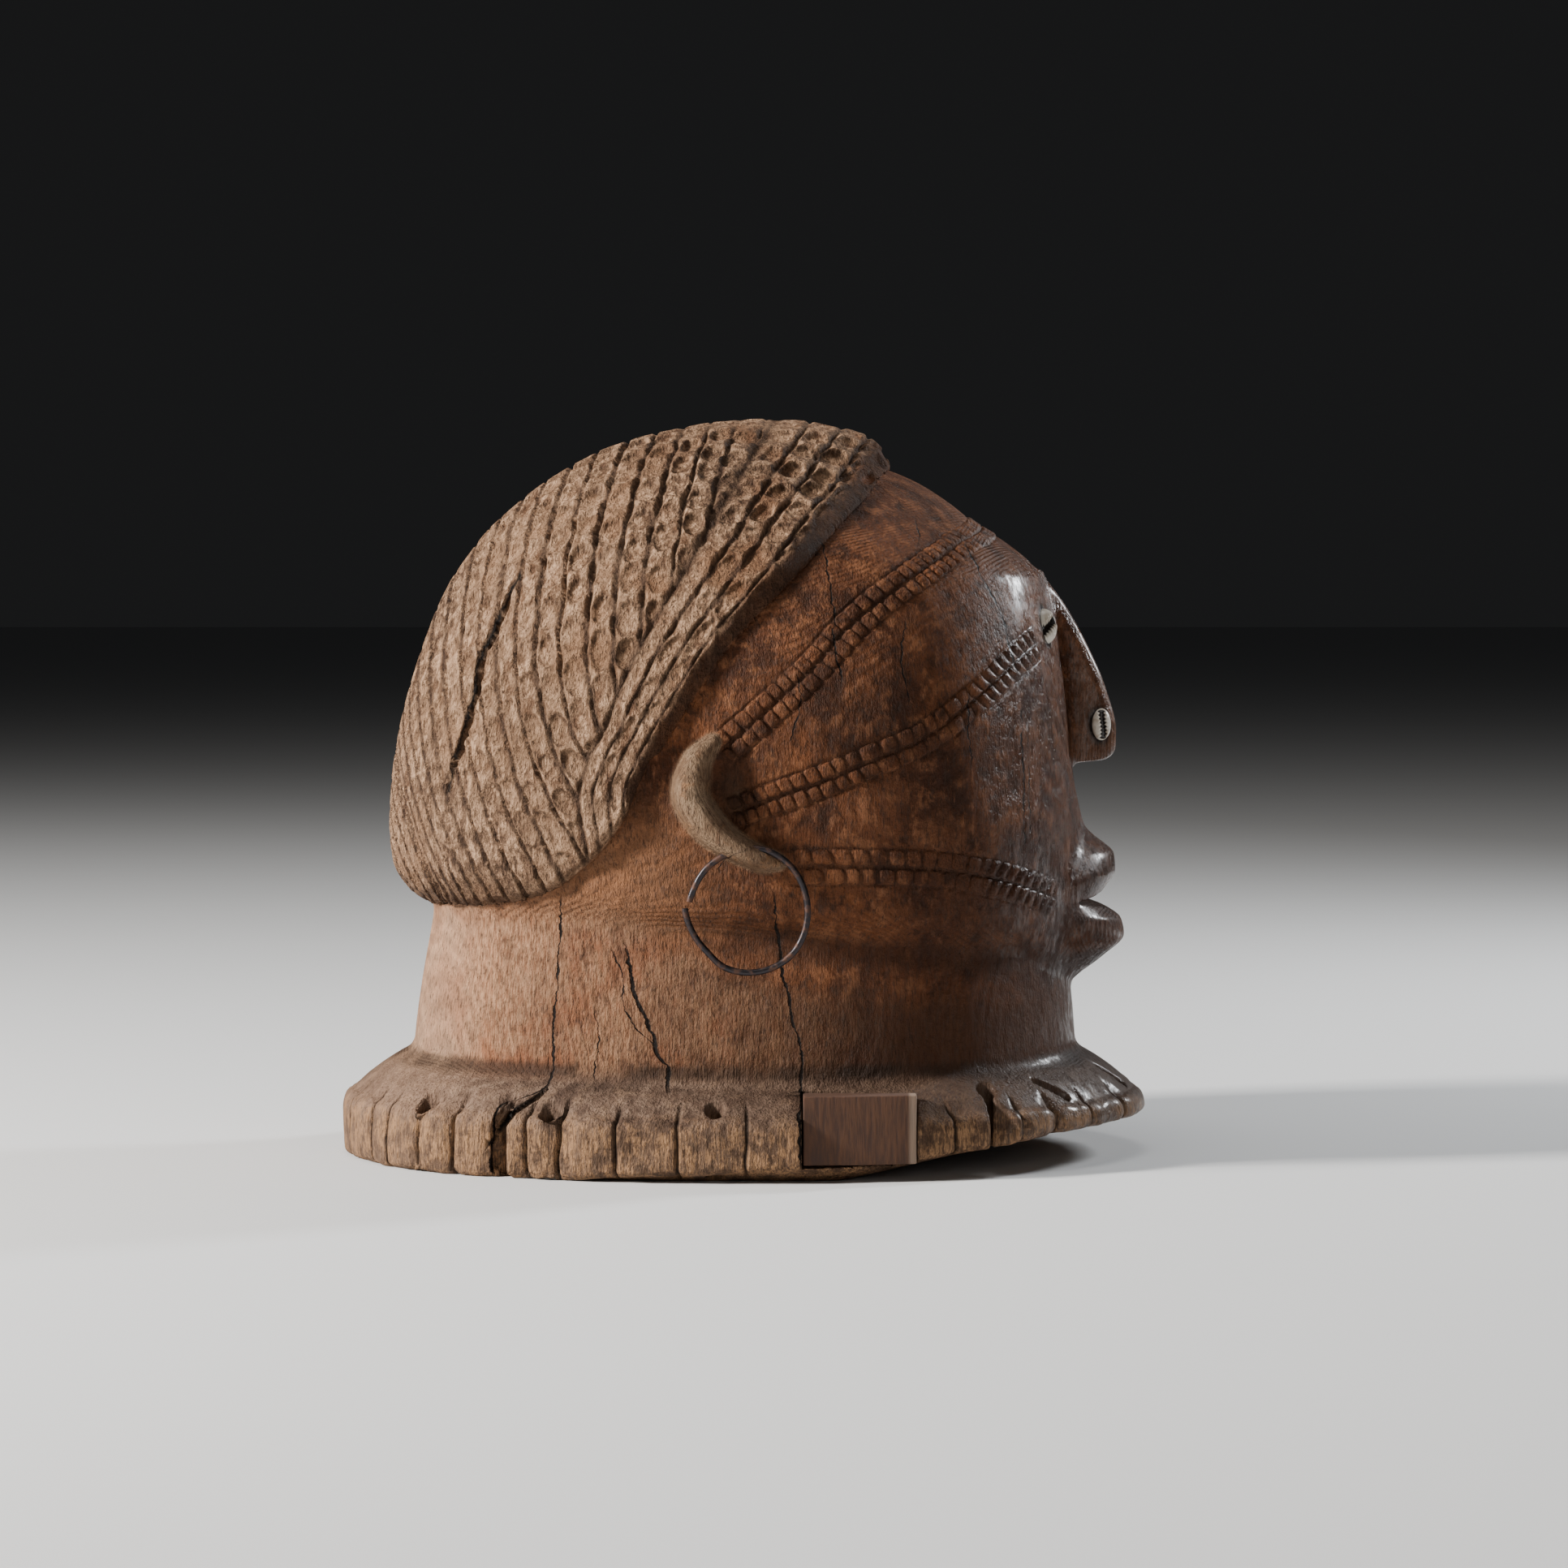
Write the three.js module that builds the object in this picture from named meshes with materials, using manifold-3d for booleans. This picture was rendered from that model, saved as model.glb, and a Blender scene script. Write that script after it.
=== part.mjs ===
// Helmet mask carved from one block of wood: a hollow head with ridged hair,
// raised bands of squares, a slab nose and a wide mouth, on a wide oval collar.
// Millimetres, +Z up. The face looks along +X and its right side is -Y. The
// origin is on the floor, under the middle of the collar.
import * as THREE from 'three';
import { mergeVertices } from 'three/addons/utils/BufferGeometryUtils.js';
import Module from 'manifold-3d';

const wasm = await Module();
wasm.setup();

// Driving dimensions
const GAP = 0.3;
const WALL = 18;
const CROWN = 321.2;
const SCALP_TOP = 312.5;
const SQUARENESS = 2.3;

const COLLAR = {
  halfLength: 175,
  halfWidth: 142,
  topAtSides: 37.5,
  topAtEnds: 46,
  rimTop: 28.5,
  slopeBulge: 1.4,
  lift: [[40, 0], [62, 4], [86, 8.5], [113, 12.5], [134, 15.3], [182, 17.5]],
  steps: 44,
};
const NECK = { back: -145, front: 145.6, halfWidth: 117.5, topBack: -134, topFront: 138, topHalfWidth: 114 };
const NECK_TOP = 118;

// Profiles of the head by height: back, front and half width
const HEAD = {
  back: [[84, -130], [110, -134], [160, -146], [200, -140], [240, -124], [266, -106], [286, -84],
    [298, -60], [306, -36], [312.5, 0]],
  front: [[76, 142.5], [86, 145], [100, 146.8], [120, 147.5], [142, 147], [171, 143.6], [200, 140.5], [230, 136],
    [250, 131], [258, 125], [266.5, 114.5], [275, 101], [284, 89.5], [292.3, 76.5], [297, 66], [305, 40],
    [311, 14], [312.5, 0]],
  width: [[84, 110], [96, 116], [105, 120], [130, 124], [155, 126.5], [184, 126.5], [207, 123],
    [226, 117], [243, 109], [261, 97], [274, 84.5], [284, 72], [291.5, 61], [300, 46.5], [306.5, 31], [312.5, 0.5]],
};
const HAIR = {
  back: [[104, -130], [110, -140], [118, -149], [128, -154], [142, -155.4], [160, -154.6], [185, -151],
    [205, -146], [224, -139.8], [237, -134.8], [250, -128.4], [262, -120], [271, -113], [280, -103.5],
    [288, -94], [296.5, -82], [303, -70.5], [308, -60], [313, -44.5], [316.5, -28.5], [319.4, -13], [321.2, 6]],
  front: [[104, 148], [240, 132], [262, 114], [279, 97], [296, 68], [301, 64], [306, 62], [311, 57.5],
    [315, 50.5], [317.5, 39], [319.5, 30], [321.2, 12]],
  width: [[104, 114], [114, 120], [130, 128], [155, 132.5], [182, 133], [206, 129.5], [226, 123],
    [246, 114.5], [261, 105], [274, 93.5], [286, 80], [297, 66], [306, 51], [312, 38], [317, 24], [321.2, 0.5]],
};

// Hair rows: the border and the line where the front rows meet the back rows
const HAIRLINE = [[131, -40], [159, -40], [177, -33], [204, -16], [222, -3], [243, 15.5], [258, 29.5], [275, 43.5],
  [290, 58], [298, 64], [322, 84]];
const MEETING_LINE = [[104, -62], [131, -64], [159, -68], [175, -64], [188, -57], [199, -53], [217, -45],
  [253, -24.4], [275, -12], [300, 2], [322, 15]];
const HAIR_BOTTOM = [[-150, 108.5], [-124, 109], [-110, 109.5], [-90, 114], [-79, 119], [-72, 124], [-64, 131]];
const FRONT_ROWS = [0.32, 0.547, 0.773];
const ROW_PITCH = 11.4;
const BACK_ROWS_START = -4;
const LOWEST_ROW = 135;
const GROOVE_DEPTH = 2.4;
const GROOVE_HALF = 1.9;
const BOW_HEIGHT = 222;
const BOW_ABOVE = 560;
const BOW_BELOW = 240;
const BOW_SHARE = [[-185, 0.55], [-128, 0.6], [-105, 0.73], [-95, 0.92], [-85, 1.12], [-75, 1.3], [-50, 1.4]];

// Raised bands: height of the centre line by angle from the face's middle, in degrees
const BANDS = {
  brow: { halfWidth: 6.6, path: [[0, 273.5], [13, 272.1], [32, 267], [45, 258.3], [59, 243.5], [68, 230.5],
    [76, 213.5], [86, 194], [94, 178.5]] },
  cheek: { halfWidth: 6.4, path: [[21.7, 225.5], [32, 216.5], [45, 199.5], [57, 182.6], [66, 174.3], [75, 166],
    [84, 159]] },
  jaw: { halfWidth: 7, path: [[24, 113], [28, 116.2], [33, 119.5], [37, 122.7], [42, 126.6], [46, 128.7],
    [53, 129.4], [80, 130.6]] },
};
const BAND_HEIGHT = 2.3;

// Face
const NOSE = [
  { z: 252, ridge: 132, half: 2.5, baseHalf: 6 },
  { z: 240, ridge: 140.5, half: 4, baseHalf: 9 },
  { z: 225, ridge: 149, half: 5.5, baseHalf: 11.5 },
  { z: 202, ridge: 159, half: 7.5, baseHalf: 14 },
  { z: 184, ridge: 163.2, half: 9, baseHalf: 16 },
  { z: 177, ridge: 163.2, half: 9.5, baseHalf: 16.5 },
  { z: 171.5, ridge: 160.5, half: 9, baseHalf: 16 },
];
const MUZZLE = {
  centre: 118,
  levels: [
    { z: 158, front: 143, half: 13 },
    { z: 143, front: 149, half: 26 },
    { z: 138, front: 154, half: 36 },
    { z: 130, front: 162.5, half: 46 },
    { z: 123, front: 163.2, half: 52 },
    { z: 114, front: 157.5, half: 57 },
    { z: 111, front: 156, half: 57.5 },
    { z: 107, front: 159.5, half: 57 },
    { z: 102, front: 165.5, half: 55 },
    { z: 95, front: 167.3, half: 51 },
    { z: 86, front: 158.5, half: 42 },
    { z: 75, front: 143.5, half: 30 },
  ],
};
const MOUTH = { back: 137, low: 107.5, high: 114.5, half: 48 };

// Jaw ledge: height of the head's lower edge by angle from the face's middle
const JAW_LINE = [[0, 76], [20, 82], [35, 95], [53, 102], [69, 106], [90, 108], [130, 114.5], [180, 115]];

// Ears: centre line (x, z), half width in its own plane, how far it stands out
const EAR = [
  { x: -12, z: 182.5, half: 2.5, out: 4 },
  { x: -19, z: 173.5, half: 6, out: 9 },
  { x: -21.5, z: 162, half: 7.5, out: 12 },
  { x: -17, z: 151.5, half: 7.5, out: 13 },
  { x: -9, z: 143, half: 6.5, out: 13.5 },
  { x: 1, z: 137, half: 5.5, out: 13 },
  { x: 9, z: 133.5, half: 4.5, out: 12 },
  { x: 15, z: 132.5, half: 2.5, out: 8 },
];
const EAR_RING = { x: 2.5, z: 113.5, y: 133.5, radius: 25.2, wire: 1.4, gapAngle: 176, gapDegrees: 6, lean: 2.4 };

// Shells: half width, half height and half thickness
const EYE_SHELL = { angle: 18, z: 230, size: [5.2, 7.4, 3.6], proud: 1.6 };
const NOSE_SHELL = { x: 156.2, z: 187, size: [4.3, 7, 3.2], proud: 1.4 };

// Collar repairs, holes and worn notches
const INSET = { x0: 25, x1: 73, bottom: 7, top: 36.5, depth: 19, setBack: 3, skew: 7 };
const HOLES = [[-131, 66], [-82, 112], [-12, 130], [96, 108]];
const HOLE_RADIUS = 3.2;
const NOTCHES = [
  { angle: -131, depth: 9, half: 2.2 },
  { angle: -46, depth: 10, half: 4.5 },
  { angle: 52, depth: 8, half: 3 },
  { angle: 141, depth: 9, half: 2.6 },
];

const { PI, abs, atan2, cos, hypot, max, min, pow, sin } = Math;
const RAD = PI / 180;
const lerp = (a, b, t) => a + (b - a) * t;
const point = (x, y, z) => new THREE.Vector3(x, y, z);

// A smooth curve through [place, value] pairs that never overshoots them
function curve(keys) {
  const slopes = keys.slice(1).map((key, i) => (key[1] - keys[i][1]) / (key[0] - keys[i][0]));
  const tangents = keys.map((_, i) => {
    if (i === 0) return slopes[0];
    if (i === keys.length - 1) return slopes[i - 1];
    if (slopes[i - 1] * slopes[i] <= 0) return 0;
    return 2 / (1 / slopes[i - 1] + 1 / slopes[i]);
  });
  return (place) => {
    if (place <= keys[0][0]) return keys[0][1];
    if (place >= keys.at(-1)[0]) return keys.at(-1)[1];
    const i = keys.findIndex((key) => key[0] > place) - 1;
    const step = keys[i + 1][0] - keys[i][0];
    const t = (place - keys[i][0]) / step;
    const back = (1 - t) * (1 - t);
    return keys[i][1] * (1 + 2 * t) * back + tangents[i] * step * t * back
      + keys[i + 1][1] * t * t * (3 - 2 * t) - tangents[i + 1] * step * t * t * (1 - t);
  };
}

// A body whose level sections are squared ovals
function ovalBody(profiles) {
  const back = curve(profiles.back);
  const front = curve(profiles.front);
  const width = curve(profiles.width);
  return {
    back,
    front,
    width,
    halfWidthAt(x, z) {
      const centre = (back(z) + front(z)) / 2;
      const reach = abs((x - centre) / (front(z) - centre));
      return reach >= 1 ? 0 : width(z) * pow(1 - pow(reach, SQUARENESS), 1 / SQUARENESS);
    },
    // The surface point at an angle about the vertical axis, moved outwards by a height
    at(degrees, z, height = 0) {
      const dx = cos(degrees * RAD);
      const dy = sin(degrees * RAD);
      const centre = (back(z) + front(z)) / 2;
      const reach = front(z) - centre;
      const outside = (r) => pow(abs((r * dx - centre) / reach), SQUARENESS)
        + pow(abs(r * dy / width(z)), SQUARENESS) > 1;
      let low = 0;
      let high = 260;
      for (let i = 0; i < 40; i += 1) {
        const middle = (low + high) / 2;
        if (outside(middle)) high = middle;
        else low = middle;
      }
      const normal = this.normal(low * dx, low * dy, z);
      return point(low * dx, low * dy, z).addScaledVector(normal, height);
    },
    normal(x, y, z) {
      const e = 0.4;
      const size = (dx, dy, dz) => {
        const h = z + dz;
        const centre = (back(h) + front(h)) / 2;
        const reach = max(front(h) - centre, 0.5);
        return pow(abs(x + dx - centre) / reach, SQUARENESS)
          + pow(abs(y + dy) / max(width(h), 0.5), SQUARENESS);
      };
      return point(
        size(e, 0, 0) - size(-e, 0, 0),
        size(0, e, 0) - size(0, -e, 0),
        size(0, 0, e) - size(0, 0, -e),
      ).normalize();
    },
  };
}

const head = ovalBody(HEAD);
const hair = ovalBody(HAIR);

// Solids from rings of points
function solidFrom(positions, triangles) {
  const geometry = new THREE.BufferGeometry();
  geometry.setAttribute('position', new THREE.Float32BufferAttribute(positions, 3));
  geometry.setIndex(triangles);
  return solidOf(geometry);
}

function solidOf(geometry) {
  const plain = geometry.clone();
  plain.deleteAttribute('normal');
  plain.deleteAttribute('uv');
  const merged = mergeVertices(plain, 1e-3);
  const index = [];
  for (let i = 0; i < merged.index.count; i += 3) {
    const [a, b, c] = [merged.index.getX(i), merged.index.getX(i + 1), merged.index.getX(i + 2)];
    if (a !== b && b !== c && c !== a) index.push(a, b, c);
  }
  const mesh = new wasm.Mesh({
    numProp: 3,
    vertProperties: new Float32Array(merged.attributes.position.array),
    triVerts: new Uint32Array(index),
  });
  const solid = new wasm.Manifold(mesh);
  return solid.volume() < 0 ? flipped(merged, index) : solid;
}

function flipped(geometry, index) {
  const turned = [];
  for (let i = 0; i < index.length; i += 3) turned.push(index[i], index[i + 2], index[i + 1]);
  return new wasm.Manifold(new wasm.Mesh({
    numProp: 3,
    vertProperties: new Float32Array(geometry.attributes.position.array),
    triVerts: new Uint32Array(turned),
  }));
}

// Closed rings of equal length, joined in order and closed by a fan at each end
function loft(rings) {
  const positions = rings.flat().flatMap((p) => [p.x, p.y, p.z]);
  const size = rings[0].length;
  const triangles = [];
  for (let i = 0; i < rings.length - 1; i += 1) {
    for (let j = 0; j < size; j += 1) {
      const a = i * size + j;
      const b = i * size + (j + 1) % size;
      triangles.push(a, b, b + size, a, b + size, a + size);
    }
  }
  const fan = (ring, first, turn) => {
    const centre = ring.reduce((sum, p) => sum.add(p), point(0, 0, 0)).divideScalar(size);
    const hub = positions.length / 3;
    positions.push(centre.x, centre.y, centre.z);
    for (let j = 0; j < size; j += 1) {
      const a = first + j;
      const b = first + (j + 1) % size;
      triangles.push(...(turn ? [hub, b, a] : [hub, a, b]));
    }
  };
  fan(rings[0], 0, true);
  fan(rings.at(-1), (rings.length - 1) * size, false);
  return solidFrom(positions, triangles);
}

const mirrored = (rings) => rings.map((ring) => ring.map((p) => point(p.x, -p.y, p.z)));

// Collar and neck
function collarRadius(angle) {
  const shape = pow(pow(abs(cos(angle)) / COLLAR.halfLength, 2.15)
    + pow(abs(sin(angle)) / COLLAR.halfWidth, 2.15), -1 / 2.15);
  return shape + 1.1 * sin(4 * angle + 0.6) + 0.8 * sin(10 * angle + 2);
}

function neckPoint(angle, z) {
  const rise = min(max((z - COLLAR.topAtSides) / (NECK_TOP - COLLAR.topAtSides), 0), 1);
  const back = lerp(NECK.back, NECK.topBack, rise);
  const front = lerp(NECK.front, NECK.topFront, rise);
  const half = lerp(NECK.halfWidth, NECK.topHalfWidth, rise);
  const centre = (back + front) / 2;
  const c = cos(angle);
  const s = sin(angle);
  const reach = pow(pow(abs(c), SQUARENESS) + pow(abs(s), SQUARENESS), -1 / SQUARENESS);
  return point(centre + (front - centre) * c * reach, half * s * reach, z);
}

// What is gone from under the front of the collar, which is clear of the floor
function frontLift() {
  const { lift, halfWidth } = COLLAR;
  const outline = [[lift[0][0], -5], ...lift, [lift.at(-1)[0], -5]];
  const ringAt = (y) => outline.map(([x, z]) => point(x, y, z));
  return loft([ringAt(-halfWidth * 1.1), ringAt(halfWidth * 1.1)]);
}

function collarAndNeck() {
  const angles = Array.from({ length: COLLAR.steps }, (_, i) => 2 * PI * i / COLLAR.steps);
  const rim = (inset, z) => angles.map((angle) => {
    const r = collarRadius(angle) - inset;
    return point(r * cos(angle), r * sin(angle), z);
  });
  const slope = (share) => angles.map((angle) => {
    const r = collarRadius(angle) - 5;
    const outer = point(r * cos(angle), r * sin(angle), COLLAR.rimTop);
    const top = lerp(COLLAR.topAtSides, COLLAR.topAtEnds, cos(angle) * cos(angle));
    const bulge = 4 * share * (1 - share) * COLLAR.slopeBulge;
    return outer.lerp(neckPoint(angle, top), share).add(point(0, 0, bulge));
  });
  const neck = (z) => angles.map((angle) => neckPoint(angle, z));
  return loft([rim(6, 0), rim(1.5, 4), rim(0, 10), rim(0, 18), rim(1.6, 24), slope(0), slope(0.5), slope(1),
    neck(80), neck(NECK_TOP)]);
}

// Head below the hair
function scalp() {
  const jaw = curve(JAW_LINE);
  const steps = 38;
  const shares = [0, 0.09, 0.2, 0.33, 0.46, 0.58, 0.69, 0.78, 0.85, 0.9, 0.945, 0.98];
  const ring = (share, shrink) => Array.from({ length: steps }, (_, i) => {
    const degrees = 360 * i / steps;
    const low = jaw(degrees > 180 ? 360 - degrees : degrees);
    return head.at(degrees, lerp(low, SCALP_TOP, share), -shrink);
  });
  const under = ring(0, 9).map((p) => point(p.x, p.y, p.z + 1));
  return loft([under, ...shares.map((share) => ring(share, 0))]);
}

// Hair
const hairline = curve(HAIRLINE);
const meetingLine = curve(MEETING_LINE);
const hairBottom = curve(HAIR_BOTTOM);
const bowShare = curve(BOW_SHARE);
const bow = (u, z) => (z - BOW_HEIGHT) ** 2 * (z > BOW_HEIGHT ? 1 / BOW_ABOVE : bowShare(u) / BOW_BELOW);

// A line over the head: the points of the hair surface where x follows the given place
function hairRing(placeAt, low, sides, drop) {
  const inside = (z) => hair.halfWidthAt(placeAt(z), z) > 0;
  let top = CROWN;
  let below = low;
  for (let z = CROWN; z > low; z -= 1) {
    if (inside(z)) {
      below = z;
      break;
    }
    top = z;
  }
  for (let i = 0; i < 30; i += 1) {
    const middle = (top + below) / 2;
    if (inside(middle)) below = middle;
    else top = middle;
  }
  const side = Array.from({ length: sides }, (_, i) => {
    const z = lerp(low, below, sin((i / sides) * PI / 2));
    const x = placeAt(z);
    const y = hair.halfWidthAt(x, z);
    const normal = hair.normal(x, y, z);
    return point(x, y, z).addScaledVector(normal, -drop(z));
  });
  const peak = point(placeAt(below), 0, below);
  peak.addScaledVector(hair.normal(peak.x, 0.01, peak.z), -drop(below)).setY(0);
  const left = side.slice().reverse();
  const foot = point(side[0].x, 0, side[0].z);
  return [...side.map((p) => point(p.x, -p.y, p.z)), peak, ...left, foot];
}

function frontHair() {
  const place = (share) => (z) => lerp(hairline(z), meetingLine(z), share);
  const low = (share) => 172 - 41 * pow(max(0, (share - 0.33) / 0.67), 1.3);
  const edge = curve([[165, 4.6], [200, 3.6], [250, 1.5], [295, 0]]);
  const columns = [{ share: 0, drop: edge }, { share: 0.14, drop: (z) => edge(z) * 0.5 - 0.4 }];
  for (const share of [...FRONT_ROWS, 1]) {
    const half = 0.035;
    columns.push({ share: share - half, drop: () => 0 });
    columns.push({ share, drop: () => GROOVE_DEPTH });
    if (share < 1) columns.push({ share: share + half, drop: () => 0 });
  }
  columns.push({ share: 1.04, drop: () => GROOVE_DEPTH + 1 });
  columns.push({ share: 1.3, drop: () => GROOVE_DEPTH + 2.5 });
  return loft(columns.map(({ share, drop }) => hairRing(place(share), low(min(share, 1)), 8, drop)));
}

// Where the grooves of the back rows lie: equal steps around the head, then down the back
function backGrooves() {
  const level = 175;
  const first = meetingLine(level) - bow(meetingLine(level), level);
  const places = [];
  for (let u = first; u < BACK_ROWS_START; u += ROW_PITCH) places.unshift(u);
  let x = meetingLine(level);
  let y = hair.halfWidthAt(x, level);
  let run = 0;
  while (x > hair.back(level) + 0.5) {
    const nextX = x - 0.25;
    const nextY = hair.halfWidthAt(nextX, level);
    run += hypot(0.25, nextY - y);
    x = nextX;
    y = nextY;
    if (run >= ROW_PITCH) {
      places.push(x - bow(x, level));
      run -= ROW_PITCH;
    }
  }
  for (let z = level - ROW_PITCH; z > LOWEST_ROW; z -= ROW_PITCH) places.push(hair.back(z) - bow(hair.back(z), z));
  return places;
}

function backHair() {
  const rowAt = (u) => (z) => u + bow(u, z);
  const lowest = (u) => {
    let z = 320;
    while (hair.halfWidthAt(u + bow(u, z), z) === 0) z -= 0.25;
    while (z > 104) {
      const x = u + bow(u, z);
      if (x > meetingLine(z) || z < hairBottom(x)) break;
      z -= 0.25;
    }
    return z;
  };
  const rings = [];
  const add = (u, depth) => {
    const low = lowest(u);
    rings.push(hairRing(rowAt(u), low, 7, (z) => (z < low + 1 ? max(depth, 1.2) : depth)));
  };
  for (const u of backGrooves()) {
    if (rings.length > 0) add(u + GROOVE_HALF, 0);
    add(u, GROOVE_DEPTH);
    add(u - GROOVE_HALF, 0);
  }
  return loft(rings);
}

// Bands of raised squares: two ribs with a groove between them
function band({ halfWidth, path }, first, last, steps) {
  const centre = curve(path);
  const profile = [[-1, -3], [-0.86, BAND_HEIGHT], [-0.2, BAND_HEIGHT], [0, 0.6], [0.2, BAND_HEIGHT],
    [0.86, BAND_HEIGHT], [1, -3]];
  const surface = (degrees) => head.at(degrees, centre(abs(degrees)));
  const rings = Array.from({ length: steps + 1 }, (_, i) => {
    const degrees = lerp(first, last, i / steps);
    const here = surface(degrees);
    const along = surface(degrees + 0.5).sub(surface(degrees - 0.5)).normalize();
    const outwards = head.normal(here.x, here.y, here.z);
    const across = outwards.clone().cross(along).normalize();
    const edge = i === 0 || i === steps ? 0.3 : 1;
    return profile.map(([side, height]) => here.clone()
      .addScaledVector(across, side * halfWidth)
      .addScaledVector(outwards, height > 0 ? height * edge : height));
  });
  return loft(rings);
}

// Face
function nose() {
  const foot = 122;
  return loft(NOSE.map(({ z, ridge, half, baseHalf }) => [
    point(foot, -baseHalf, z),
    point(lerp(foot, ridge, 0.82), -lerp(baseHalf, half, 0.75), z),
    point(ridge, -half * 0.6, z),
    point(ridge, half * 0.6, z),
    point(lerp(foot, ridge, 0.82), lerp(baseHalf, half, 0.75), z),
    point(foot, baseHalf, z),
  ]));
}

function muzzle() {
  const steps = 20;
  return loft(MUZZLE.levels.map(({ z, front, half }) => Array.from({ length: steps }, (_, i) => {
    const angle = 2 * PI * i / steps;
    const reach = pow(pow(abs(cos(angle)), 2.3) + pow(abs(sin(angle)), 2.3), -1 / 2.3);
    return point(MUZZLE.centre + (front - MUZZLE.centre) * cos(angle) * reach, half * sin(angle) * reach, z);
  })));
}

function mouth() {
  const { back, low, high, half } = MOUTH;
  const middle = (low + high) / 2;
  const section = (x, share, open) => [
    point(x, -half * share, middle),
    point(x, -half * share * 0.6, middle - open),
    point(x, half * share * 0.6, middle - open),
    point(x, half * share, middle),
    point(x, half * share * 0.6, middle + open),
    point(x, -half * share * 0.6, middle + open),
  ];
  return loft([section(back, 0.7, 1.6), section(158, 1, (high - low) / 2), section(180, 1.3, 9)]);
}

// Ears: a curved bar that stands out from the head and ends in a lobe
function ear() {
  const steps = 8;
  return EAR.map(({ x, z, half, out }, i) => {
    const before = EAR[max(i - 1, 0)];
    const after = EAR[min(i + 1, EAR.length - 1)];
    const along = point(after.x - before.x, 0, after.z - before.z).normalize();
    const across = point(-along.z, 0, along.x);
    const base = -head.halfWidthAt(x, z);
    return Array.from({ length: steps }, (_, j) => {
      const angle = 2 * PI * (j + 0.5) / steps;
      return point(x, base + 3, z)
        .addScaledVector(across, half * cos(angle) * 1.06)
        .add(point(0, -(out + 3) * sin(angle) * 1.06, 0));
    });
  });
}

// Ear rings: a wire bent round, its ends a little apart
function wireRing(wire) {
  const { x, z, y, radius, gapAngle, gapDegrees, lean } = EAR_RING;
  const steps = 20;
  const sides = 6;
  return Array.from({ length: steps + 1 }, (_, i) => {
    const share = i / steps;
    const angle = (gapAngle + gapDegrees / 2 + (360 - gapDegrees) * share) * RAD;
    const outwards = point(cos(angle), 0, sin(angle));
    return Array.from({ length: sides }, (__, j) => {
      const turn = 2 * PI * j / sides;
      return point(x, -y + lean * (share - 0.5), z)
        .addScaledVector(outwards, radius + wire * cos(turn))
        .add(point(0, wire * sin(turn), 0));
    });
  });
}

// Shells: domed ovals half sunk in the wood
function shell({ size: [a, b, c] }, grow) {
  const ball = new THREE.SphereGeometry(1, 10, 5);
  ball.scale(a + grow, c + grow, b + grow);
  return ball;
}

function shellPlaces() {
  const eye = head.at(EYE_SHELL.angle, EYE_SHELL.z, EYE_SHELL.proud - EYE_SHELL.size[2] * 0.45);
  const facing = head.normal(eye.x, eye.y, eye.z);
  const tip = NOSE_SHELL;
  return [
    { name: 'eye_shell', spec: EYE_SHELL, at: eye, turn: atan2(facing.y, facing.x) },
    { name: 'nose_shell', spec: NOSE_SHELL, at: point(tip.x, 13.2, tip.z), turn: 74 * RAD },
  ];
}

function placed(geometry, at, turn, side) {
  const copy = geometry.clone();
  copy.rotateZ(turn - PI / 2);
  copy.translate(at.x, at.y, at.z);
  if (side < 0) copy.scale(1, -1, 1);
  return solidOf(copy);
}

// Hollow of the mask
function cavity() {
  const steps = 24;
  const ringAt = (z, back, front, half) => Array.from({ length: steps }, (_, i) => {
    const angle = 2 * PI * i / steps;
    const reach = pow(pow(abs(cos(angle)), SQUARENESS) + pow(abs(sin(angle)), SQUARENESS), -1 / SQUARENESS);
    const centre = (back + front) / 2;
    return point(centre + (front - centre) * cos(angle) * reach, half * sin(angle) * reach, z);
  });
  const inHead = (z) => ringAt(z, head.back(z + 14) + WALL, head.front(z + 14) - WALL - 3, head.width(z + 14) - WALL);
  const atNeck = (z) => ringAt(z, NECK.topBack + WALL, NECK.topFront - WALL - 3, NECK.topHalfWidth - WALL);
  return loft([ringAt(-2, NECK.back + 15, NECK.front - 15, NECK.halfWidth - 15), atNeck(60), atNeck(108),
    inHead(150), inHead(190), inHead(225), inHead(250), inHead(268), inHead(282), inHead(292)]);
}

// Collar: the inset block, the lacing holes and the worn notches
function insetBox(shrink) {
  const { x0, x1, bottom, top, depth } = INSET;
  const outside = shrink > 0 ? 0 : 20;
  const face = COLLAR.halfWidth - INSET.setBack;
  const ringAt = (z) => [
    point(x0 + shrink, -face - outside, z),
    point(x1 - shrink, -face + INSET.skew - outside, z),
    point(x1 - shrink, -face + depth - shrink, z),
    point(x0 + shrink, -face + depth - shrink, z),
  ];
  return loft([ringAt(bottom + shrink), ringAt(top - shrink)]);
}

function lacingHole(x, y) {
  const drill = new THREE.CylinderGeometry(HOLE_RADIUS, HOLE_RADIUS, 60, 8);
  drill.rotateX(PI / 2);
  drill.translate(x, y, 20);
  return solidOf(drill);
}

function notch({ angle, depth, half }) {
  const direction = angle * RAD;
  const r = collarRadius(direction);
  const out = point(cos(direction), sin(direction), 0);
  const side = point(-sin(direction), cos(direction), 0);
  const at = (reach, across, z) => out.clone().multiplyScalar(reach).addScaledVector(side, across).setZ(z);
  const ringAt = (z, share) => [
    at(r - depth * share, 0, z),
    at(r + 6, half * 1.6, z),
    at(r + 6, -half * 1.6, z),
  ];
  return loft([ringAt(-1, 1), ringAt(COLLAR.topAtEnds, 1.6)]);
}

const pair = (rings) => loft(rings).add(loft(mirrored(rings)));

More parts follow.
